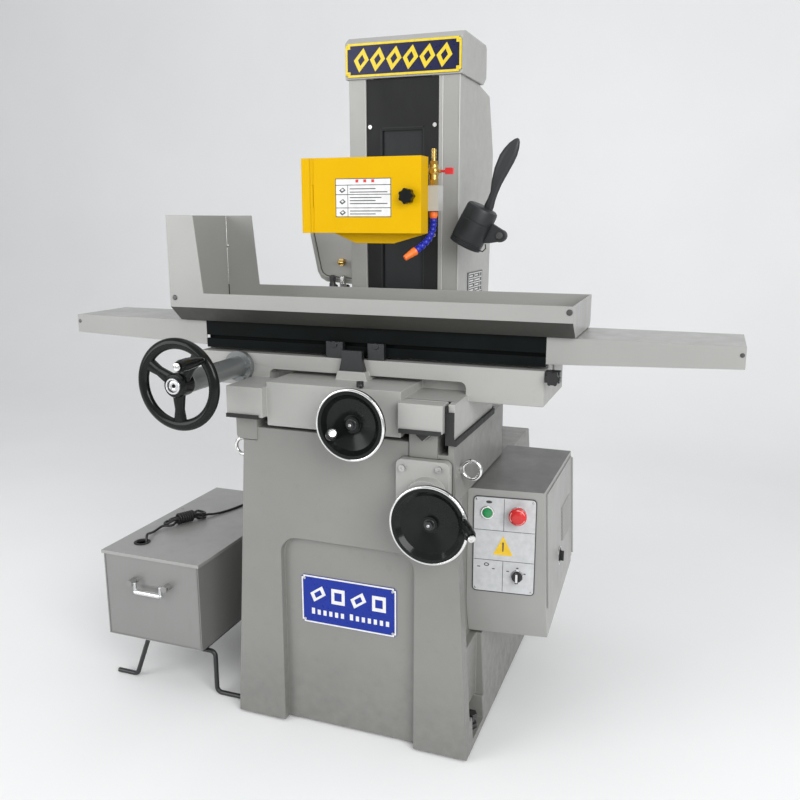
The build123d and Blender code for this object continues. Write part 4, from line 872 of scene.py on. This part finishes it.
def dial_collar(name, centre, y0, y1, r):
    """Satin graduated collar behind a wheel, with engraved division lines."""
    marks = 40
    x, _, z = centre
    long = y1 - y0
    profile = [(r - 1.5, 0), (r, 1.2), (r, long - 5), (r - 0.8, long - 4.2)]
    profile += [(r - 0.8, long - 3), (r, long - 2.2), (r, long)]
    lathe(name + "_collar", at(x, y0, z), BACKWARD, profile, "aluminium", name, "aluminium", 64)
    bm = bmesh.new()
    for k in range(marks):
        out, side = spoke(2 * pi * k / marks)
        reach = 6.5 if k % 5 == 0 else 3.8
        start = at(x, y0 + 2.0, z) + out * ((r - 0.2) * MM)
        a = side * (0.35 * MM)
        b = BACKWARD * (reach * MM)
        add_prism(bm, [start - a, start + a, start + a + b, start - a + b], out * (0.32 * MM))
    piece(name + "_marks", bm, "ink", name)


def grip_end(name, tip, direction, body):
    """Bright screw head that closes a revolving grip."""
    profile = [(8.2, 0.2), (8.2, 1.6), (7.4, 2.8), (3.4, 3.2), (3.1, 2.2), (0.4, 2.2)]
    lathe(name, tip, direction, profile, "chrome", body, "chrome", 32)


def add_web(bm, centre, angle, near, far, w0, w1, w2, thick):
    """One flat tapering spoke from a hub out to a rim."""
    x, y, z = centre
    out, side = spoke(angle)
    middle, long = at(x, y, z), far - near
    stations = [(near, w0), (near + 0.25 * long, (w0 + w1) / 2), (near + 0.55 * long, w1)]
    stations += [(near + 0.82 * long, (w1 + w2) / 2), (far, w2)]
    rings = []
    for reach, wide in stations:
        ring = []
        for t in turns(16):
            u = copysign(abs(cos(t)) ** 0.6, cos(t)) * wide / 2
            v = copysign(abs(sin(t)) ** 0.6, sin(t)) * thick / 2
            p = middle + out * (reach * MM) + side * (u * MM) + BACKWARD * (v * MM)
            ring.append(bm.verts.new(p))
        rings.append(ring)
    bridge(bm, rings)


TABLE_WHEEL = (-310.0, -150.0, 861.0)
CROSS_WHEEL = (48.0, -60.0, 783.0)
LIFT_WHEEL = (222.0, -60.0, 584.0)
CROSS_WHEEL_R = 78.0
LIFT_WHEEL_R = 86.0
CROSS_GRIP = ((0, -62, 752), (23, -100, 772))
LIFT_GRIP = ((292, -68, 611), (328, -118, 592))
TABLE_GRIP_X, TABLE_GRIP_Z = -240, 920


def table_wheel_details():
    x, y, z = TABLE_WHEEL
    bm = bmesh.new()
    for degrees in (50, 150, 270):
        add_web(bm, TABLE_WHEEL, radians(degrees), 12, 87, 33, 21, 34, 13)
    rim = [(88.4 + 12.2 * cos(t), 9.6 * sin(t)) for t in turns(24)]
    add_ring(bm, at(x, y, z), FRONTWARD, rim, 112)
    hub = [(25, -22), (27, -20), (27, 12), (24, 16.5), (13, 17.5)]
    add_lathe(bm, at(x, y, z), FRONTWARD, hub, 56)
    wheel = piece("table_wheel_skin", bm, "bakelite", "table_wheel")
    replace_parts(wheel, "table_wheel")
    bm = bmesh.new()
    add_lathe(bm, at(x, y + 20, z), BACKWARD, [(11, 0), (11, 376)], 32)
    add_lathe(bm, at(x, 224.5, z), BACKWARD, [(11, 0), (24, 0.4), (24, 14.6), (11, 15)], 32)
    add_lathe(bm, at(TABLE_GRIP_X, y, TABLE_GRIP_Z), FRONTWARD, [(4, 0), (4, 97)], 24)
    piece("table_wheel_shaft", bm, "steel", "table_wheel")
    bm = bmesh.new()
    collar = [(13.5, 0), (17.5, 0), (17.5, 5), (16.3, 6.2), (14, 6.2), (13.2, 5)]
    add_ring(bm, at(x, y - 16.5, z), FRONTWARD, collar, 56)
    screw = [(11.9, 0), (11.9, 3.2), (7.5, 4.0), (4.2, 2.4), (0.5, 2.4)]
    add_lathe(bm, at(x, y - 15, z), FRONTWARD, screw, 40)
    piece("table_wheel_cap", bm, "aluminium", "table_wheel", bevel=0.3)


def wheel_details():
    table_wheel_details()
    chrome_rim("cross_wheel", CROSS_WHEEL, CROSS_WHEEL_R)
    chrome_rim("lift_wheel", LIFT_WHEEL, LIFT_WHEEL_R)
    hub_nut("cross_wheel", CROSS_WHEEL, 15.0)
    hub_nut("lift_wheel", LIFT_WHEEL, 17.0)
    dial_collar("cross_wheel", CROSS_WHEEL, -44.6, -22.5, 25.0)
    for name, (root, tip) in (("cross", CROSS_GRIP), ("lift", LIFT_GRIP)):
        along = (at(*tip) - at(*root)).normalized()
        grip_end(name + "_grip_end", at(*tip) + along * (2.9 * MM), along, name + "_wheel")
    tip = at(TABLE_GRIP_X, -249.2, TABLE_GRIP_Z)
    grip_end("table_grip_end", tip, FRONTWARD, "table_wheel")


# ---- electrical box ----
BOX_X0, BOX_Y0 = 250.3, 133
BOX_YAW = radians(6.23)
PANEL_IN = Vector((-sin(BOX_YAW), cos(BOX_YAW), 0.0))
PANEL_FACE = -2.0
START = (46.5, 554)
STOP = (116.5, 556)
SELECTOR = (117, 406)


def on_panel(x, y, z):
    """A place in the box front's own frame: along the front, back from it, and up."""
    a = BOX_YAW
    return at(BOX_X0 + x * cos(a) - y * sin(a), BOX_Y0 + x * sin(a) + y * cos(a), z)


def add_panel_bar(bm, x0, x1, z0, z1, y0, y1):
    outline = [on_panel(x0, y1, z0), on_panel(x1, y1, z0), on_panel(x1, y1, z1), on_panel(x0, y1, z1)]
    add_prism(bm, outline, PANEL_IN * ((y0 - y1) * MM))


def rounded(x0, x1, z0, z1, r, y):
    """A rounded rectangle on the box's front."""
    points = []
    corners = ((x1 - r, z1 - r), (x0 + r, z1 - r), (x0 + r, z0 + r), (x1 - r, z0 + r))
    for quarter, (cx, cz) in enumerate(corners):
        for k in range(6):
            t = radians(90 * quarter + 18 * k)
            points.append(on_panel(cx + r * cos(t), y, cz + r * sin(t)))
    return points


def oval(x, z, a, b):
    return [on_panel(x + a * cos(t), PANEL_FACE, z + b * sin(t)) for t in turns(20)]


def panel_lines():
    """The panel's edge, the lines between its fields, and plain marks over the controls."""
    bm = bmesh.new()
    bars = [(16.5, 153.5, 510.6, 511.7), (16.5, 153.5, 438.4, 439.5)]
    bars += [(83.0, 84.1, 511.5, 588.0), (83.0, 84.1, 364.0, 438.6)]
    marks = ((28, 421, 7, 2.2), (62, 418, 6, 2.2), (95, 415, 6, 2.2), (117, 424.5, 5, 2.6))
    for x, z, w, h in marks + ((133.5, 412, 5, 2.4),):
        bars.append((x - w / 2, x + w / 2, z - h / 2, z + h / 2))
    for bar in bars:
        add_panel_bar(bm, *bar, -2.3, -1.9)
    outer = rounded(13.4, 156.6, 360.4, 591.6, 9.4, 0.0)
    add_frame(bm, outer, rounded(15.4, 154.6, 362.4, 589.6, 8.0, 0.0), PANEL_IN * (-2.3 * MM))
    piece("panel_lines", bm, "ink", "base")
    bm = bmesh.new()
    add_prism(bm, oval(49, 578.5, 7, 3.4), PANEL_IN * (-0.5 * MM))
    add_frame(bm, oval(46, 427.5, 6.0, 4.2), oval(46, 427.5, 3.6, 2.4), PANEL_IN * (-0.35 * MM))
    piece("panel_marks", bm, "ink", "base")


def panel_sign():
    """A plain yellow triangle with a dark bar."""
    bm = bmesh.new()
    corners = [(60.5, 453), (105.5, 453), (83, 499)]
    add_prism(bm, [on_panel(x, PANEL_FACE, z) for x, z in corners], PANEL_IN * (-0.4 * MM))
    piece("panel_triangle", bm, "amber", "base")
    bm = bmesh.new()
    stroke = [(81.2, 484), (84.8, 484), (84.2, 462), (81.8, 462)]
    add_prism(bm, [on_panel(x, -2.4, z) for x, z in stroke], PANEL_IN * (-0.3 * MM))
    piece("panel_stroke", bm, "ink", "base")


def button_trims():
    """Chrome bezels, the stop head's arrows, both buttons' crowns, the selector's line, and screws."""
    bm = bmesh.new()
    trims = (START, 11.4, 15.6, 7.6), (STOP, 8.6, 17.4, 6.6), (SELECTOR, 12.4, 14.6, 5.6)
    for (x, z), r0, r1, deep in trims:
        section = [(r0, 1.0), (r0, deep - 0.9), (r0 + 0.9, deep), (r1 - 1.2, deep)]
        section += [(r1, deep - 1.4), (r1, 1.0)]
        add_ring(bm, on_panel(x, 0, z), -PANEL_IN, section, 56)
    piece("bezels", bm, "chrome", "base")
    x, z = STOP
    bm = bmesh.new()
    for start in (20, 140, 260):
        points = []
        for k in range(9):
            t = radians(start + 10 * k)
            points.append(on_panel(x + 16.6 * cos(t), -28.9, z + 16.6 * sin(t)))
        add_tube(bm, points, [0.5] + [0.95] * 6 + [1.6, 0.3], 8)
    piece("stop_arrows", bm, "pink", "emergency_stop")
    profile = [(13.2, 0), (13.2, 0.9), (11.5, 1.7), (6, 2.2), (0.5, 2.3)]
    top = on_panel(x, -31, z)
    lathe("stop_crown", top, -PANEL_IN, profile, "red", "emergency_stop", "red_plastic", 40)
    x, z = START
    profile = [(10.2, 0), (10.2, 0.5), (8, 1.2), (0.5, 1.5)]
    top = on_panel(x, -10, z)
    lathe("start_crown", top, -PANEL_IN, profile, "green", "start_button", "green_plastic", 36)
    x, z = SELECTOR
    bm = bmesh.new()
    add_panel_bar(bm, x - 2.4, x + 2.4, z - 9.5, z + 10.5, -20.5, -19.8)
    piece("selector_line", bm, "white", "selector_knob", bevel=0.2)
    bm = bmesh.new()
    profile = [(2.6, 0), (2.6, 0.6), (1.8, 1.3), (0.3, 1.4)]
    for x, z in ((21, 583.5), (149, 583.5), (21, 368.5), (149, 368.5)):
        add_lathe(bm, on_panel(x, PANEL_FACE, z), -PANEL_IN, profile, 18)
    piece("panel_screws", bm, "steel", "base", bevel=0.1)


BOX_SIDE_X, BOX_TOP_Z = 421.0, 608.0
BOX_LEAN = 15.0 / 361.0


def door_x(z, out):
    """A distance out from the box's leaning right side, at a height."""
    return BOX_SIDE_X + (BOX_TOP_Z - z) * BOX_LEAN + out


def louvres():
    """Pressed hood over each slot of the box door, and the latch's plate."""
    hood = ((2.7, 5.6), (4.2, 5.0), (6.2, 1.6), (6.4, 0.4), (5.6, 0.4), (3.6, 3.8), (2.7, 4.4))
    bm = bmesh.new()
    for k in range(9):
        z = 420 + 10 * k
        add_prism(bm, [at(door_x(z, out), 354, z + up) for out, up in hood], BACKWARD * (117 * MM))
    piece("louvres", bm, "grey_sheet", "box_door", bevel=0.3)
    bm = bmesh.new()
    x = door_x(395, 2.8)
    outer, inner = [], []
    for t in turns(28):
        outer.append(at(x, 322 + 19 * cos(t), 395 + 24 * sin(t)))
        inner.append(at(x, 322 + 15.5 * cos(t), 395 + 20.5 * sin(t)))
    add_frame(bm, outer, inner, Vector((1.6 * MM, 0, 0)))
    piece("latch_plate", bm, "chrome", "box_door")


# ---- coolant hose ----
HOSE = [
    (139.0, 205.0, 1206.0), (139.0, 205.0, 1196.0), (138.6, 203.8, 1186.0), (137.4, 200.4, 1176.0),
    (134.8, 195.0, 1166.0), (130.6, 188.6, 1157.4), (124.8, 181.8, 1149.4), (117.6, 174.6, 1141.8),
    (109.6, 167.6, 1134.6),
]
NOZZLE_TIP = (90.0, 152.0, 1119.0)


def coolant_hose():
    """Ball-jointed hose: one waisted blue segment after another, an orange collar and nozzle."""
    shares = [(4.2, 0), (6.3, 0.02), (7.3, 0.16), (8.2, 0.4)]
    shares += [(8.3, 0.62), (7.2, 0.86), (5.6, 0.99), (4.0, 1.0)]
    bm = bmesh.new()
    points = [at(*p) for p in HOSE]
    for a, b in zip(points, points[1:]):
        long = (b - a).length / MM
        add_lathe(bm, a, b - a, [(r, share * long) for r, share in shares], 28)
    hose = piece("hose_segments", bm, "blue", "coolant_hose")
    look = ("orange", "coolant_hose", "blue_plastic", 36)
    profile = [(8.6, 0), (9.8, 1.2), (9.8, 10), (8.8, 11.5), (8.8, 13), (7.2, 15.4)]
    lathe("hose_collar", at(139, 205, 1221.2), -UP, profile, *look)
    start, tip = points[-1], at(*NOZZLE_TIP)
    long = (tip - start).length / MM
    profile = [(6.5, -2.5), (9.2, -1), (9.4, 5), (8.6, 7), (8.2, 0.45 * long), (7.2, 0.7 * long)]
    profile += [(6.2, long), (4.6, long), (4.2, long - 5)]
    lathe("hose_nozzle", start, tip - start, profile, *look)
    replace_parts(hose, "coolant_hose")


# ---- lamp ----
LAMP_LOW = (173.7, 340.0, 1142.8)
LAMP_HIGH = (218.6, 340.0, 1230.7)
LAMP_R = 40.0


def lamp_can():
    """Open can with a ribbed mouth, a seam and a rounded back."""
    low, high = at(*LAMP_LOW), at(*LAMP_HIGH)
    along = high - low
    top = along.length / MM
    r = LAMP_R
    profile = [(0.5, 60), (r - 5, 60), (r - 5, 0.8), (r - 3, 0), (r - 0.8, 0.8)]
    for k in range(3):
        rib = 3 + 4.6 * k
        profile += [(r - 0.4, rib), (r - 1.8, rib + 0.8), (r - 1.8, rib + 1.8), (r - 0.4, rib + 2.6)]
    profile += [(r, 19), (r, 60), (r - 0.1, 63), (r - 1, 63.8), (r - 1, 65.0), (r - 0.4, 65.8)]
    profile += [(r - 1.4, top - 7), (r - 3, top - 2), (r - 8, top + 1.2), (r - 16, top + 2.6), (0.5, top + 3)]
    return lathe("lamp_can", low, along, profile, "lamp", "lamp_head", "black_paint", 72)


def lamp_leaf():
    """Thick leaf-shaped hand grip with a shallow ridge."""
    stations = [
        (229, 1222, 10.0, 8.0), (232, 1234, 11.6, 8.5), (238, 1250, 9.4, 8.2), (243, 1264, 9.0, 8.0),
        (249, 1287, 12.8, 8.2), (259, 1314, 17.4, 8.6), (272, 1341, 19.4, 8.6), (281, 1356, 17.6, 8.2),
        (289, 1370, 13.2, 7.4), (295, 1380, 7.4, 5.6), (297.5, 1384.5, 2.6, 2.6),
    ]
    bm = bmesh.new()
    rings = []
    for i, (x, z, wide, thick) in enumerate(stations):
        before, after = stations[max(i - 1, 0)], stations[min(i + 1, len(stations) - 1)]
        d = Vector((after[0] - before[0], 0, after[1] - before[1])).normalized()
        side = Vector((d.z, 0, -d.x))
        ring = []
        for t in turns(28):
            fat = thick * (1 - 0.16 * exp(-((cos(t) * 3.2) ** 2)))
            offset = side * (wide * cos(t)) + BACKWARD * (fat * sin(t))
            ring.append(bm.verts.new(at(x, 340, z) + offset * MM))
        rings.append(ring)
    bridge(bm, rings)
    piece("lamp_leaf", bm, "lamp", "lamp_head")


def lamp_ear():
    """Cheeks round the tilting pin, the bracket that joins them to the can, and a wire loop."""
    bm = bmesh.new()
    outline = [(216, 1196), (226, 1200), (240, 1195)]
    for k in range(13):
        t = radians(70 - 15 * k)
        outline.append((260 + 15 * cos(t), 1165.5 + 15 * sin(t)))
    outline += [(238, 1148.5), (222, 1148), (206, 1152)]
    for y0, y1 in ((333.6, 338.6), (342.4, 347.2)):
        add_prism(bm, [at(x, y0, z) for x, z in outline], BACKWARD * ((y1 - y0) * MM))
    loop = [(226, 334, 1146), (228, 331, 1136), (221, 330, 1129), (212, 331, 1131), (205, 334, 1138)]
    add_tube(bm, [at(*p) for p in loop], [1.6] * len(loop), 10)
    core = [(210, 1190), (226, 1194), (240, 1186), (246, 1166), (240, 1154), (222, 1151), (206, 1156)]
    add_prism(bm, [at(x, 338, z) for x, z in core], BACKWARD * (5 * MM))
    piece("lamp_ear", bm, "lamp", "lamp_head", bevel=1.2)
    profile = [(8.6, 0), (8.6, 1.4), (7.4, 2.4), (5.2, 2.6), (5.0, 1.2), (0.4, 1.2)]
    pin = at(260, 331.2, 1165.5)
    lathe("lamp_pin_head", pin, FRONTWARD, profile, "dark_steel", "lamp_arm", "dark_steel", 32)


def lamp_bulb():
    low, high = at(*LAMP_LOW), at(*LAMP_HIGH)
    profile = [(6, 58), (9, 52), (10, 44), (17, 36), (22, 27), (23, 20), (20, 12), (12, 6.5), (0.5, 5)]
    lathe("lamp_bulb", low, high - low, profile, "glass", "lamp_head", "black_paint", 48)


def lamp():
    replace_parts(lamp_can(), "lamp_head")
    lamp_leaf()
    lamp_ear()
    lamp_bulb()


# ---- coolant tank and leads ----
def tank_details():
    """The grommet in the lid's hole, the body's seams and the handle's sleeve."""
    bm = bmesh.new()
    section = [(14.2, -3), (16.6, -3), (16.8, 0.2), (21, 0.3)]
    section += [(21.4, 1.8), (19, 3.2), (15.4, 3.2), (14.2, 1.6)]
    add_ring(bm, at(-624, 86, 370.5), UP, section, 48)
    piece("lid_grommet", bm, "rubber", "base")
    bm = bmesh.new()
    for x in (-684, -407):
        add_tube(bm, [at(x, 11.2, 140), at(x, 11.2, 361)], [1.4, 1.4], 8)
    add_tube(bm, [at(-686, 11.0, 139.5), at(-405, 11.0, 139.5)], [1.4, 1.4], 8)
    add_tube(bm, [at(-402.2, 15, 139.5), at(-402.2, 536, 139.5)], [1.4, 1.4], 8)
    piece("tank_seams", bm, "tank", "base")
    bm = bmesh.new()
    sleeve = [(4.6, 0), (6.2, 0.6), (6.6, 4), (6.6, 72), (6.2, 75.4), (4.6, 76)]
    add_lathe(bm, at(-582, -6, 278), Vector((1, 0, 0)), sleeve, 28)
    piece("handle_sleeve", bm, "chrome", "tank_handle")


def strain_reliefs():
    """Tapered, ribbed rubber sleeves where the pump's lead enters the base and leaves the pump."""
    profile = [(7.6, 0), (7.6, 3)]
    for k in range(5):
        r, rib = 7.2 - 2.6 * k / 5, 4.6 * k
        profile += [(r, 3.6 + rib), (r, 6.0 + rib), (r - 0.9, 6.5 + rib), (r - 0.9, 7.6 + rib)]
    profile += [(4.3, 27), (3.4, 28)]
    look = (profile, "rubber", "base", "rubber", 28)
    lathe("lead_relief_base", at(-289, 513, 333), Vector((-1, 0.02, 0.01)), *look)
    lathe("lead_relief_pump", at(-616, 92, 318), UP, *look)


def details():
    column_trim()
    sign()
    name_plate()
    rating_plate()
    guard_label()
    housing_rim()
    pipe_unions()
    tray_details()
    way_shade()
    wheel_details()
    panel_lines()
    panel_sign()
    button_trims()
    louvres()
    coolant_hose()
    lamp()
    tank_details()
    strain_reliefs()


details()


# ---- stage and light ----
HALF_WIDTH, WALL_Y, SWEEP_R = 9.0, 2.2, 1.4


def floor():
    """A pale floor that sweeps up into a wall; these lengths are metres."""
    profile = [(-6.0, 0.0), (WALL_Y, 0.0)]
    for k in range(1, 9):
        angle = pi / 2 * k / 8
        profile.append((WALL_Y + SWEEP_R * sin(angle), SWEEP_R * (1 - cos(angle))))
    profile.append((WALL_Y + SWEEP_R, 6.0))
    bm = bmesh.new()
    rows = [[bm.verts.new((x, y, z)) for x in (-HALF_WIDTH, HALF_WIDTH)] for y, z in profile]
    for a, b in zip(rows, rows[1:]):
        bm.faces.new((a[0], a[1], b[1], b[0]))
    made = place("floor", mesh_of("floor", bm))
    made.data.shade_smooth()
    g = Graph("floor_paper")
    shades = (0.86, 0.86, 0.86, 1), (0.9, 0.9, 0.9, 1)
    tone = g.mix(g.ramp(g.noise(0.8), 0.3, 0.7, 0.0, 1.0), *shades)
    made.data.materials.append(g.finish(tone, Roughness=0.8))


def area_light(name, spot, target, size, power):
    data = bpy.data.lights.new(name, "AREA")
    data.shape = "RECTANGLE"
    data.size = data.size_y = size
    data.energy = power
    made = place(name, data)
    made.location = spot
    aim = Vector(target) - Vector(spot)
    made.rotation_euler = aim.to_track_quat("-Z", "Y").to_euler()


def lights():
    world = bpy.data.worlds.new("studio")
    world.use_nodes = True
    background = world.node_tree.nodes["Background"]
    background.inputs["Color"].default_value = (0.96, 0.98, 1.0, 1.0)
    background.inputs["Strength"].default_value = 0.55
    scene.world = world
    area_light("key", (2.7, -2.9, 2.4), (0.0, 0.0, 0.8), 2.2, 110)
    area_light("fill", (-2.6, -3.2, 1.8), (0.0, 0.0, 0.8), 2.4, 62)
    area_light("top", (0.0, -0.4, 4.0), (0.0, 0.0, 0.6), 3.0, 22)
    scene.view_settings.view_transform = "Standard"
    scene.view_settings.exposure = 0.0


floor()
lights()
